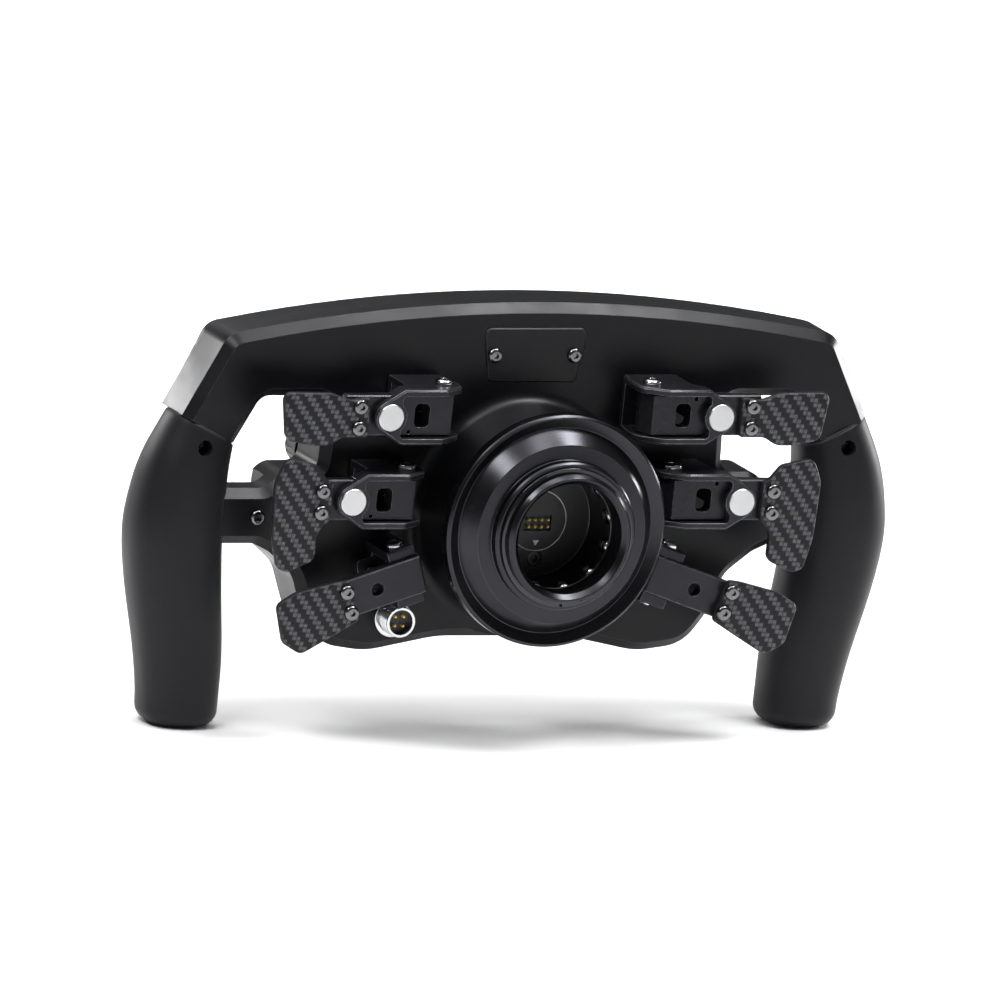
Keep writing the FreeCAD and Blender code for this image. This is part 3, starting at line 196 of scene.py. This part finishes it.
def twill(name):
    """2x2 carbon twill under satin resin, woven in the XZ plane, with plain dark sides. One direction of tow
    is painted light as a painted reflection, the other near black as painted shade, with painted shade at the
    tow ends and in the dips between tows.
    """
    tow, lean = 0.0017, 0.12
    graph = Graph(name)
    x, _, z = graph.axes()
    u = graph.math("DIVIDE", graph.math("ADD", x, graph.math("MULTIPLY", z, lean)), tow)
    v = graph.math("DIVIDE", graph.math("SUBTRACT", z, graph.math("MULTIPLY", x, lean)), tow)
    column, line = graph.math("FLOOR", u), graph.math("FLOOR", v)
    step = graph.math("FLOORED_MODULO", graph.math("SUBTRACT", column, line), 4.0)
    over = graph.math("LESS_THAN", step, 2.0)
    in_u, in_v = graph.math("FRACT", u), graph.math("FRACT", v)

    def hump(part, fall):
        """1 in the middle of a tow, less toward its ends."""
        centred = graph.math("SUBTRACT", part, 0.5)
        square = graph.math("MULTIPLY", centred, centred)
        return graph.math("SUBTRACT", 1.0, graph.math("MULTIPLY", square, fall))

    across = graph.node("ShaderNodeMix", data_type="FLOAT")
    graph.link(over, across.inputs["Factor"])
    graph.link(hump(in_v, 4.0), across.inputs["A"])
    graph.link(hump(in_u, 4.0), across.inputs["B"])
    height = across.outputs["Result"]
    # One direction of tow is painted light grey, streaked along its strands, as a painted reflection; the
    # other is painted near black as painted shade.
    strands = graph.remap(graph.noise(3000.0, 1.0), 0.3, 0.7, 0.0, 1.0)
    warp_painted_reflection = graph.mix(strands, (0.035, 0.035, 0.04), (0.13, 0.13, 0.145))
    weft_painted_shade = graph.mix(strands, (0.003, 0.003, 0.004), (0.007, 0.007, 0.009))
    # Each light tow painted darker towards its ends: painted shade where it dips under the crossing tows.
    warp_painted_reflection = graph.mix(hump(in_v, 3.2), (0.012, 0.012, 0.014), warp_painted_reflection)
    tint = graph.mix(over, weft_painted_shade, warp_painted_reflection)
    shaded = graph.mix(graph.remap(height, 0.0, 0.5, 0.0, 1.0), (0.006, 0.006, 0.007), tint)
    soft = graph.soft_edges(0.0008)
    split = graph.node("ShaderNodeSeparateXYZ")
    graph.link(graph.node("ShaderNodeNewGeometry").outputs["Normal"], split.inputs[0])
    side_face = graph.remap(graph.math("ABSOLUTE", split.outputs["Y"]), 0.5, 0.8, 1.0, 0.0)
    rim = graph.math("MAXIMUM", graph.edge_mask(soft), side_face)
    shaded = graph.mix(rim, shaded, (0.016, 0.016, 0.018))
    normal = graph.bump(height, 0.00008, 0.45, soft)
    rough = graph.remap(over, 0.0, 1.0, 0.5, 0.33)
    return graph.finish(shaded, rough, 0.0, normal, Specular_IOR_Level=0.2, Coat_Weight=0.1,
                        Coat_Roughness=0.2)


def rubber(name, colour):
    """Moulded rubber: fine leather-like skin with a soft sheen."""
    graph = Graph(name)
    pores = graph.node("ShaderNodeTexVoronoi", feature="SMOOTH_F1")
    pores.inputs["Scale"].default_value = 1500.0
    graph.link(graph.place(), pores.inputs["Vector"])
    cloud = graph.noise(35.0)
    grain = graph.math("MULTIPLY", graph.noise(3500.0), 0.5)
    normal = graph.bump(graph.math("ADD", pores.outputs["Distance"], grain), 0.00003, 0.35)
    tint = graph.mix(graph.remap(cloud, 0.35, 0.65, 0.0, 1.0), scaled(colour, 0.9), scaled(colour, 1.12))
    rough = graph.remap(cloud, 0.3, 0.7, 0.44, 0.52)
    return graph.finish(tint, rough, 0.0, normal, Specular_IOR_Level=0.22, Sheen_Weight=0.03,
                        Sheen_Roughness=0.45)


def plain(name, colour, roughness, metallic=0.0, grain=1500.0, depth=0.00002):
    """Moulded plastic or bright metal with a little grain and rounded edges."""
    graph = Graph(name)
    soft = graph.soft_edges(0.0002)
    cloud = graph.noise(90.0)
    normal = graph.bump(graph.noise(grain, 2.0), depth, 0.3, soft)
    tint = graph.mix(graph.remap(cloud, 0.3, 0.7, 0.0, 1.0), scaled(colour, 0.94), scaled(colour, 1.05))
    rough = graph.remap(cloud, 0.3, 0.7, roughness * 0.85, roughness * 1.15)
    return graph.finish(tint, rough, metallic, normal)


def bright_metal(name, colour, roughness, metallic=1.0):
    """Plain metal with hardly any grain."""
    return plain(name, colour, roughness, metallic, 900.0, 0.000004)


def circuit(name):
    """Green board with slanting traces."""
    graph = Graph(name)
    x, _, z = graph.axes()
    lines = graph.math("SINE", graph.math("MULTIPLY", graph.math("ADD", x, z), 2400.0))
    traces = graph.math("MULTIPLY", graph.math("GREATER_THAN", lines, 0.6),
                        graph.math("GREATER_THAN", graph.noise(70.0), 0.5))
    tint = graph.mix(traces, (0.008, 0.06, 0.03), (0.02, 0.13, 0.06))
    return graph.finish(tint, 0.32, 0.0)


# The fourth value of each anodised finish is the colour painted on its edges: a painted highlight, partly
# wear.
FINISHES = {
    "housing": anodised("housing_anodised", (0.0045, 0.0045, 0.006), 0.35,
                        (0.06, 0.06, 0.066), 0.3, 0.3, 0.0004),
    "bracket": anodised("bracket_anodised", (0.022, 0.022, 0.026), 0.32,
                        (0.33, 0.33, 0.34), 0.2, 0.6, 0.0003),
    "lever": anodised("lever_anodised", (0.022, 0.022, 0.026), 0.3,
                      (0.22, 0.22, 0.23), 0.2, 0.6, 0.0003),
    "hub": turned_metal("hub_turned", (0.032, 0.032, 0.036), 0.23, 0.95),
    "cover": anodised("cover_anodised", (0.009, 0.009, 0.0105), 0.36,
                      (0.09, 0.09, 0.095), 0.2, 0.35, 0.0003),
    "carbon": twill("carbon_twill"),
    "rubber": rubber("grip_rubber", (0.006, 0.006, 0.0078)),
    "chrome": bright_metal("bright_steel", (0.62, 0.62, 0.64), 0.16),
    "screw": bright_metal("dark_screw_steel", (0.16, 0.16, 0.165), 0.2),
    "black_steel": plain("black_oxide_steel", (0.07, 0.07, 0.074), 0.3, 0.9, 900.0, 0.00001),
    "magnet": plain("magnet_nickel", (0.55, 0.55, 0.555), 0.3, 1.0, 2200.0, 0.00001),
    "ring": bright_metal("ring_steel", (0.62, 0.62, 0.63), 0.2),
    "dark_ring": bright_metal("dark_ring_steel", (0.05, 0.05, 0.054), 0.16, 0.9),
    "gold": bright_metal("gold_contacts", (1.0, 0.7, 0.14), 0.42, 0.5),
    "plastic": plain("black_plastic", (0.016, 0.016, 0.017), 0.45),
    "knob": plain("knob_plastic", (0.018, 0.018, 0.019), 0.5),
    "paint": plain("white_paint", (0.7, 0.7, 0.7), 0.5),
    "red": plain("cap_red", (0.42, 0.018, 0.016), 0.36),
    "blue": plain("cap_blue", (0.015, 0.07, 0.42), 0.36),
    "green": plain("cap_green", (0.015, 0.27, 0.07), 0.36),
    "yellow": plain("cap_yellow", (0.62, 0.38, 0.015), 0.36),
    "board": circuit("board_green"),
}
NODE_FINISH = {
    "rear_housing": "housing", "front_plate": "carbon", "left_grip": "rubber", "right_grip": "rubber",
    "service_cover": "cover", "housing_screws": "screw", "hub_sleeve": "hub", "retaining_ring": "dark_ring",
    "hub_bolts": "black_steel", "contact_screws": "black_steel", "locking_balls": "chrome",
    "contact_plate": "plastic", "contact_pins": "gold", "locking_collar": "hub", "collar_spring": "ring",
    "connector_shell": "chrome", "connector_nut": "chrome", "connector_insert": "plastic",
    "connector_pins": "gold", "bracket_magnets": "magnet", "pivot_pins": "chrome",
    "shifter_switches": "plastic", "button_bezels": "bracket", "circuit_board": "board",
}
CAPS = {"1": "red", "2": "blue", "3": "green", "4": "yellow"}


def finish_of(name):
    """Finish of a CAD node by its name."""
    if name in NODE_FINISH:
        return NODE_FINISH[name]
    if name.endswith("_screws"):
        return "screw"
    if name.endswith("_paddle"):
        return "carbon"
    if name.endswith(("_bracket", "_base")):
        return "bracket"
    if name.endswith("_lever"):
        return "lever"
    if "_button_" in name:
        return CAPS[name[-1]]
    return "knob"


SMOOTH_BELOW = math.radians(32)


def dress(obj, finish):
    """Smooth shading with hard corners kept, and the finish."""
    mesh = obj.data
    mesh.materials.clear()
    mesh.materials.append(FINISHES[finish])
    mesh.polygons.foreach_set("use_smooth", [True] * len(mesh.polygons))
    if "custom_normal" in mesh.attributes:
        mesh.attributes.remove(mesh.attributes["custom_normal"])
    weld = obj.modifiers.new("weld", "WELD")
    weld.merge_threshold = 0.000002
    split = obj.modifiers.new("corners", "EDGE_SPLIT")
    split.split_angle = SMOOTH_BELOW


for node_name, node in nodes.items():
    dress(node, finish_of(node_name))


# ---------------------------------------------------------------- pieces
def piece(name, mesh, finish, body, smooth=True):
    """New object with a finish that rides on a body."""
    obj = bpy.data.objects.new(name, mesh)
    bpy.context.scene.collection.objects.link(obj)
    mesh.materials.clear()
    mesh.materials.append(FINISHES[finish])
    if smooth:
        mesh.polygons.foreach_set("use_smooth", [True] * len(mesh.polygons))
        mesh.set_sharp_from_angle(angle=SMOOTH_BELOW)
    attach(obj, body)
    return obj


def mesh_from(name, points, faces):
    mesh = bpy.data.meshes.new(name)
    mesh.from_pydata([tuple(c * MM for c in point) for point in points], [], faces)
    mesh.validate()
    maker = bmesh.new()
    maker.from_mesh(mesh)
    bmesh.ops.remove_doubles(maker, verts=maker.verts, dist=0.000001)
    bmesh.ops.recalc_face_normals(maker, faces=maker.faces)
    maker.to_mesh(mesh)
    maker.free()
    return mesh


def arc_corners(profile, steps=5):
    """Profile of (r, y, radius) with its corners rounded into short runs of points."""
    points = []
    count = len(profile)
    for i, (r, y, radius) in enumerate(profile):
        here = Vector((r, y))
        if radius <= 0:
            points.append(here)
            continue
        before = Vector(profile[i - 1][:2]) - here
        after = Vector(profile[(i + 1) % count][:2]) - here
        angle = before.angle(after)
        reach = radius / math.tan(angle / 2)
        start, end = here + before.normalized() * reach, here + after.normalized() * reach
        halfway = (before.normalized() + after.normalized()).normalized()
        middle = here + halfway * (radius / math.sin(angle / 2))
        first, last = start - middle, end - middle
        turn = first.angle_signed(last)
        for step in range(steps + 1):
            part = -turn * step / steps
            points.append(middle + Matrix.Rotation(part, 2) @ first)
    return points


def lathe(name, profile, segments=240):
    """Closed ring turned about the hub axis, from a profile of (r, y, radius)."""
    outline = arc_corners(profile)
    rows = len(outline)
    points, faces = [], []
    for step in range(segments):
        turn = 2 * math.pi * step / segments
        for r, y in outline:
            points.append((r * math.cos(turn), y, r * math.sin(turn)))
    for step in range(segments):
        following = (step + 1) % segments
        for row in range(rows):
            below = (row + 1) % rows
            faces.append((step * rows + row, following * rows + row,
                          following * rows + below, step * rows + below))
    return mesh_from(name, points, faces)


def cut_with(obj, cutter_mesh):
    """Boolean difference, applied to the mesh."""
    cutter = bpy.data.objects.new("cutter", cutter_mesh)
    bpy.context.scene.collection.objects.link(cutter)
    modifier = obj.modifiers.new("cut", "BOOLEAN")
    modifier.object = cutter
    modifier.solver = "EXACT"
    bpy.context.view_layer.update()
    evaluated = obj.evaluated_get(bpy.context.evaluated_depsgraph_get())
    mesh = bpy.data.meshes.new_from_object(evaluated)
    obj.modifiers.clear()
    obj.data = mesh
    bpy.data.objects.remove(cutter)


def rod(radius, start, end, segments=48):
    """Closed cylinder mesh between two points, in millimetres."""
    start, end = Vector(start), Vector(end)
    turn = (end - start).to_track_quat("Z", "Y")
    points, faces = [], []
    for level in (start, end):
        for step in range(segments):
            angle = 2 * math.pi * step / segments
            across = Vector((radius * math.cos(angle), radius * math.sin(angle), 0))
            points.append(tuple(level + turn @ across))
    for step in range(segments):
        following = (step + 1) % segments
        faces.append((step, following, segments + following, segments + step))
    faces.append(tuple(range(segments)))
    faces.append(tuple(range(segments, 2 * segments)))
    return mesh_from("rod", points, faces)


# collar: finer than the CAD node it replaces, because its highlights show every facet
COLLAR = [
    (24.28, -3.9, 0), (25.2, -3.1, 0.2), (26.9, -3.1, 0.3), (27.7, -3.9, 0.2), (27.7, -7.2, 0.4),
    (33.2, -7.2, 0.3), (38.2, -13.4, 0.4), (42.2, -11.2, 0.4), (43.3, -12.2, 0.3), (43.3, -16.6, 0.6),
    (42.1, -17.8, 0.3), (30.4, -17.8, 0.3), (30.4, -9.0, 0), (27.3, -9.0, 0), (27.3, -17.8, 0),
    (25.78, -17.8, 0), (25.78, -5.4, 0), (24.28, -5.1, 0),
]
collar = piece("collar_turned", lathe("collar_turned", COLLAR), "hub", "collar")
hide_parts("locking_collar")

# grips: smooth skin over the sections of the CAD grips
GRIP_MIDDLE = -56.5
GRIP_SECTIONS = [
    (43.0, 118.7, 14.2, 12.0), (29.0, 125.9, 14.4, 12.6), (17.0, 129.7, 15.9, 14.6), (4.5, 131.5, 17.2, 16.0),
    (-10.0, 132.1, 18.0, 16.5), (-28.0, 130.1, 17.7, 16.0), (-55.5, 125.3, 16.1, 14.6),
    (-70.5, 123.8, 14.9, 14.1), (-82.0, 123.4, 14.5, 13.9),
]
SEAM_OUTER = (136.5, 34.3)
SEAM_INNER = (115.0, 23.9)
SQUARENESS = 2.35
GRIP_SCREW = (128.4, 23.2)
CORE_BACK = -50.5


def grip_at(z):
    """Centre and half sizes of the grip at a height, by a smooth curve through the sections."""
    last = len(GRIP_SECTIONS) - 1
    z = max(min(z, GRIP_SECTIONS[0][0]), GRIP_SECTIONS[-1][0])
    i = next(k for k in range(last) if z >= GRIP_SECTIONS[k + 1][0])
    before, start = GRIP_SECTIONS[max(i - 1, 0)], GRIP_SECTIONS[i]
    end, after = GRIP_SECTIONS[i + 1], GRIP_SECTIONS[min(i + 2, last)]
    run = end[0] - start[0]
    part = (z - start[0]) / run
    square, cube = part ** 2, part ** 3
    values = []
    for k in (1, 2, 3):
        slope_in = (end[k] - before[k]) / (end[0] - before[0]) * run
        slope_out = (after[k] - start[k]) / (after[0] - start[0]) * run
        values.append((2 * cube - 3 * square + 1) * start[k] + (cube - 2 * square + part) * slope_in
                      + (3 * square - 2 * cube) * end[k] + (cube - square) * slope_out)
    return values


def grip_point(z, turn, inset=0.0):
    """Point of the right grip's skin at a height and an angle, set in by a little."""
    centre, wide, deep = grip_at(z)
    across, along = math.cos(turn), math.sin(turn)
    reach = (abs(across) ** SQUARENESS + abs(along) ** SQUARENESS) ** (-1 / SQUARENESS)
    return Vector((centre + (wide - inset) * reach * across, GRIP_MIDDLE + (deep - inset) * reach * along, z))


def seam_height(x, gap):
    """Height of the slanting seam between limb and grip, less a gap square to it."""
    slope = (SEAM_OUTER[1] - SEAM_INNER[1]) / (SEAM_OUTER[0] - SEAM_INNER[0])
    return SEAM_INNER[1] + slope * (x - SEAM_INNER[0]) - gap * math.sqrt(1 + slope * slope)


def seam_point(turn, inset, gap):
    """Where the skin at an angle meets the seam, found step by step."""
    z = SEAM_INNER[1]
    for _ in range(12):
        z = seam_height(grip_point(z, turn, inset).x, gap)
    return z


def build_grip(name, side):
    """Skin of one grip: a lip at the seam, the swelling body, and a rounded lower end."""
    around, along, round_off, lip_drop = 96, 110, 6.0, 0.95
    bottom = GRIP_SECTIONS[-1][0]
    turns = [2 * math.pi * step / around for step in range(around)]
    tops = [seam_point(turn, 0.0, 0.1) for turn in turns]
    rings = []
    for inset, drop in ((3.2, 0.0), (0.9, 0.0), (0.45, 0.12), (0.15, 0.45), (0.0, lip_drop)):
        rings.append([grip_point(top - drop, turn, inset) for turn, top in zip(turns, tops)])
    for level in range(1, along):
        part = level / along
        rings.append([grip_point(top - lip_drop + (bottom + round_off - top + lip_drop) * part, turn)
                      for turn, top in zip(turns, tops)])
    for level in range(13):
        angle = math.pi / 2 * level / 12
        z = bottom + round_off * (1 - math.sin(angle))
        rings.append([grip_point(z, turn, round_off * (1 - math.cos(angle))) for turn in turns])
    points = [(side * p.x, p.y, p.z) for ring in rings for p in ring]
    faces = []
    for row in range(len(rings) - 1):
        for step in range(around):
            following = (step + 1) % around
            faces.append((row * around + step, row * around + following,
                          (row + 1) * around + following, (row + 1) * around + step))
    faces.append(tuple(range(around)))
    faces.append(tuple((len(rings) - 1) * around + step for step in range(around)))
    mesh = mesh_from(f"{name}_grip_skin", points, faces)
    grip = piece(f"{name}_grip_skin", mesh, "rubber", "wheel")
    screw_x, screw_z = side * GRIP_SCREW[0], GRIP_SCREW[1]
    cut_with(grip, rod(2.95, (screw_x, CORE_BACK, screw_z), (screw_x, CORE_BACK + 20.5, screw_z)))
    grip.data.polygons.foreach_set("use_smooth", [True] * len(grip.data.polygons))
    grip.data.set_sharp_from_angle(angle=SMOOTH_BELOW)
    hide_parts(f"{name}_grip")


def build_dark_seam_fill(name, side):
    """Thin dark strip that closes the seam between limb and grip: a dark sheet put in for the shade in the
    gap.
    """
    around, inset, above, below = 72, 0.7, 0.35, 0.55
    points = []
    for drop in (-above, below):
        for step in range(around):
            turn = 2 * math.pi * step / around
            point = grip_point(seam_point(turn, inset, 0.0), turn, inset)
            points.append((side * point.x, point.y, point.z - drop))
    faces = [(k, (k + 1) % around, around + (k + 1) % around, around + k) for k in range(around)]
    faces += [tuple(range(around)), tuple(range(around, 2 * around))]
    mesh = mesh_from(f"{name}_seam_painted_shade", points, faces)
    piece(f"{name}_seam_painted_shade", mesh, "plastic", "wheel")


for side_name, side_sign in SIDES.items():
    build_grip(side_name, side_sign)
for side_name, side_sign in SIDES.items():
    build_dark_seam_fill(side_name, side_sign)

# spring as round wire
WIRE, SPRING_RADIUS = 1.2, 28.85
SPRING_LOW, SPRING_HIGH = -22.35, -9.7
SPRING_TURNS, SPRING_STEPS = 4, 64
spring_curve = bpy.data.curves.new("spring_wire", "CURVE")
spring_curve.dimensions = "3D"
spring_curve.bevel_depth = WIRE / 2 * MM
spring_curve.bevel_resolution = 5
spring_curve.use_fill_caps = True
line = spring_curve.splines.new("POLY")
line.points.add(SPRING_TURNS * SPRING_STEPS)
for index, point in enumerate(line.points):
    turn = 2 * math.pi * index / SPRING_STEPS
    rise = SPRING_LOW + (SPRING_HIGH - SPRING_LOW) * index / (SPRING_TURNS * SPRING_STEPS)
    point.co = (SPRING_RADIUS * math.cos(turn) * MM, rise * MM, SPRING_RADIUS * math.sin(turn) * MM, 1)
spring_source = bpy.data.objects.new("spring_source", spring_curve)
bpy.context.scene.collection.objects.link(spring_source)
bpy.context.view_layer.update()
spring_mesh = bpy.data.meshes.new_from_object(
    spring_source.evaluated_get(bpy.context.evaluated_depsgraph_get()))
bpy.data.objects.remove(spring_source)
spring = piece("spring_coil", spring_mesh, "ring", "wheel")
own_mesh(spring)
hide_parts("collar_spring")

# light filling in the contact plate's engraving
PAINT_LOW, PAINT_HIGH = CONTACT_FLOOR - 0.2, CONTACT_FLOOR - 0.06
ring_fill = [(11.02, PAINT_LOW, 0), (11.38, PAINT_LOW, 0), (11.38, PAINT_HIGH, 0), (11.02, PAINT_HIGH, 0)]
piece("engraved_ring", lathe("engraved_ring", ring_fill, 160), "paint", "wheel")
arrow = [(-1.3, -7.27), (1.3, -7.27), (0.0, -9.45)]
arrow_points = [(x, y, z) for y in (PAINT_LOW, PAINT_HIGH) for x, z in arrow]
arrow_faces = [(0, 1, 2), (3, 4, 5), (0, 1, 4, 3), (1, 2, 5, 4), (2, 0, 3, 5)]
arrow_mesh = mesh_from("engraved_arrow", arrow_points, arrow_faces)
piece("engraved_arrow", arrow_mesh, "paint", "wheel", smooth=False)


# driver's side: tick marks round the rotary knobs, and paint in the knobs' index slots
TICKS = 12


def bar(middle, turn, inner, outer, half_width, low, high):
    """Closed flat bar that points away from a middle (x, z), between two heights along Y."""
    along = Vector((math.sin(turn), math.cos(turn)))
    across = Vector((along.y, -along.x)) * half_width
    middle = Vector(middle)
    corners = [middle + along * inner - across, middle + along * inner + across,
               middle + along * outer + across, middle + along * outer - across]
    points = [(c.x, y, c.y) for y in (low, high) for c in corners]
    return points, [(0, 1, 2, 3), (4, 5, 6, 7), (0, 1, 5, 4), (1, 2, 6, 5), (2, 3, 7, 6), (3, 0, 4, 7)]


for side_name, side_sign in SIDES.items():
    for kind, (x, z, radius) in KNOBS.items():
        name = f"{side_name}_{kind}_index"
        points, faces = bar((side_sign * x, z), 0.0, 0.4 * radius, radius - 1.3, 0.5,
                            KNOB_TOP + 0.85, KNOB_TOP + 0.45)
        piece(name, mesh_from(name, points, faces), "paint", f"{side_name}_{kind}_dial",
              smooth=False)
    x, z, radius = KNOBS["rotary"]
    points, faces = [], []
    for tick in range(TICKS):
        more, sides = bar((side_sign * x, z), 2 * math.pi * tick / TICKS, radius + 2.2, radius + 3.8, 0.28,
                          PLATE_FRONT + 0.03, PLATE_FRONT - 0.05)
        faces += [tuple(len(points) + k for k in side) for side in sides]
        points += more
    name = f"{side_name}_rotary_ticks"
    piece(name, mesh_from(name, points, faces), "paint", "wheel", smooth=False)


# ---------------------------------------------------------------- floor, light and camera
def stage_material(name, colour, roughness):
    """Matt and almost even."""
    graph = Graph(name)
    return graph.finish(graph.mix(graph.noise(3.0), scaled(colour, 0.99), colour), roughness)


floor_mesh = bpy.data.meshes.new("floor")
REACH = 6.0
ground = (GRIP_SECTIONS[-1][0] - 0.2) * MM
floor_corners = [(x * REACH, y * REACH, ground) for x, y in ((-1, -1), (1, -1), (1, 1), (-1, 1))]
floor_mesh.from_pydata(floor_corners, [], [(0, 1, 2, 3)])
floor = bpy.data.objects.new("floor", floor_mesh)
bpy.context.scene.collection.objects.link(floor)
floor_mesh.materials.append(stage_material("floor_pale", (0.93, 0.93, 0.93), 0.6))

RIGHT = Vector((-0.907, 0.4086, 0.1000))
UP = Vector((0.0, -0.238, 0.9713))
TOWARD = RIGHT.cross(UP)
TARGET = Vector((0.02349, -0.01207, 0.01166))
DISTANCE = 2.0
PICTURE_WIDTH = 0.3623
camera_data = bpy.data.cameras.new("camera")
camera_data.type = "ORTHO"
camera_data.ortho_scale = PICTURE_WIDTH
camera = bpy.data.objects.new("camera", camera_data)
bpy.context.scene.collection.objects.link(camera)
turned = Matrix((RIGHT, UP, TOWARD)).transposed().to_4x4()
camera.matrix_world = Matrix.Translation(TARGET + TOWARD * DISTANCE) @ turned
camera_data.clip_end = 50.0
bpy.context.scene.camera = camera


def softbox(name, place, aim, width, height, power):
    """Rectangular studio light that faces a point."""
    data = bpy.data.lights.new(name, "AREA")
    data.shape = "RECTANGLE"
    data.size, data.size_y = width, height
    data.energy = power
    light = bpy.data.objects.new(name, data)
    bpy.context.scene.collection.objects.link(light)
    light.location = place
    light.rotation_mode = "QUATERNION"
    light.rotation_quaternion = (Vector(place) - Vector(aim)).to_track_quat("Z", "Y")
    return light


def toward(direction, distance):
    """Place at a distance from the middle of the picture, in a direction."""
    return TARGET + Vector(direction).normalized() * distance


softbox("top_strip", toward((0.08, 0.13, 0.9), 1.25), TARGET, 1.2, 0.25, 7.0)
softbox("chamfer_strip", toward((-0.42, 0.22, 0.88), 1.3), TARGET, 0.5, 0.25, 11.0)
softbox("key", toward((0.57, 0.25, 0.78), 1.3), TARGET, 0.5, 0.3, 8.0)
# two small lights close by, mirrored to the camera by the outer side of one limb and the chamfer of the other
RIGHT_LIMB = Vector((0.136, -0.055, 0.03))
LEFT_LIMB = Vector((-0.13, -0.046, 0.047))
softbox("rim_left", RIGHT_LIMB + Vector((0.417, -0.881, 0.222)) * 0.35, RIGHT_LIMB, 0.07, 0.07, 0.48)
softbox("rim_right", LEFT_LIMB + Vector((-0.959, -0.273, 0.065)) * 0.4, LEFT_LIMB, 0.08, 0.14, 1.2)
softbox("driver_side", toward((0.1, -0.8, 0.75), 1.6), TARGET, 1.0, 0.5, 5.0)
backdrop_light = softbox("backdrop", (-0.45, -1.0, 1.0), (-0.45, -1.0, 0.0), 1.6, 1.0, 11.0)
backdrop_light.data.spread = math.radians(75)
softbox("ceiling", (0.0, 0.0, 3.0), (0.0, 0.0, 0.0), 4.5, 4.5, 58.0)
world = bpy.data.worlds.new("studio")
bpy.context.scene.world = world
world.use_nodes = True
backdrop = world.node_tree.nodes["Background"]
backdrop.inputs["Color"].default_value = (0.93, 0.94, 0.96, 1.0)
backdrop.inputs["Strength"].default_value = 0.13
bpy.context.scene.view_settings.view_transform = "Standard"
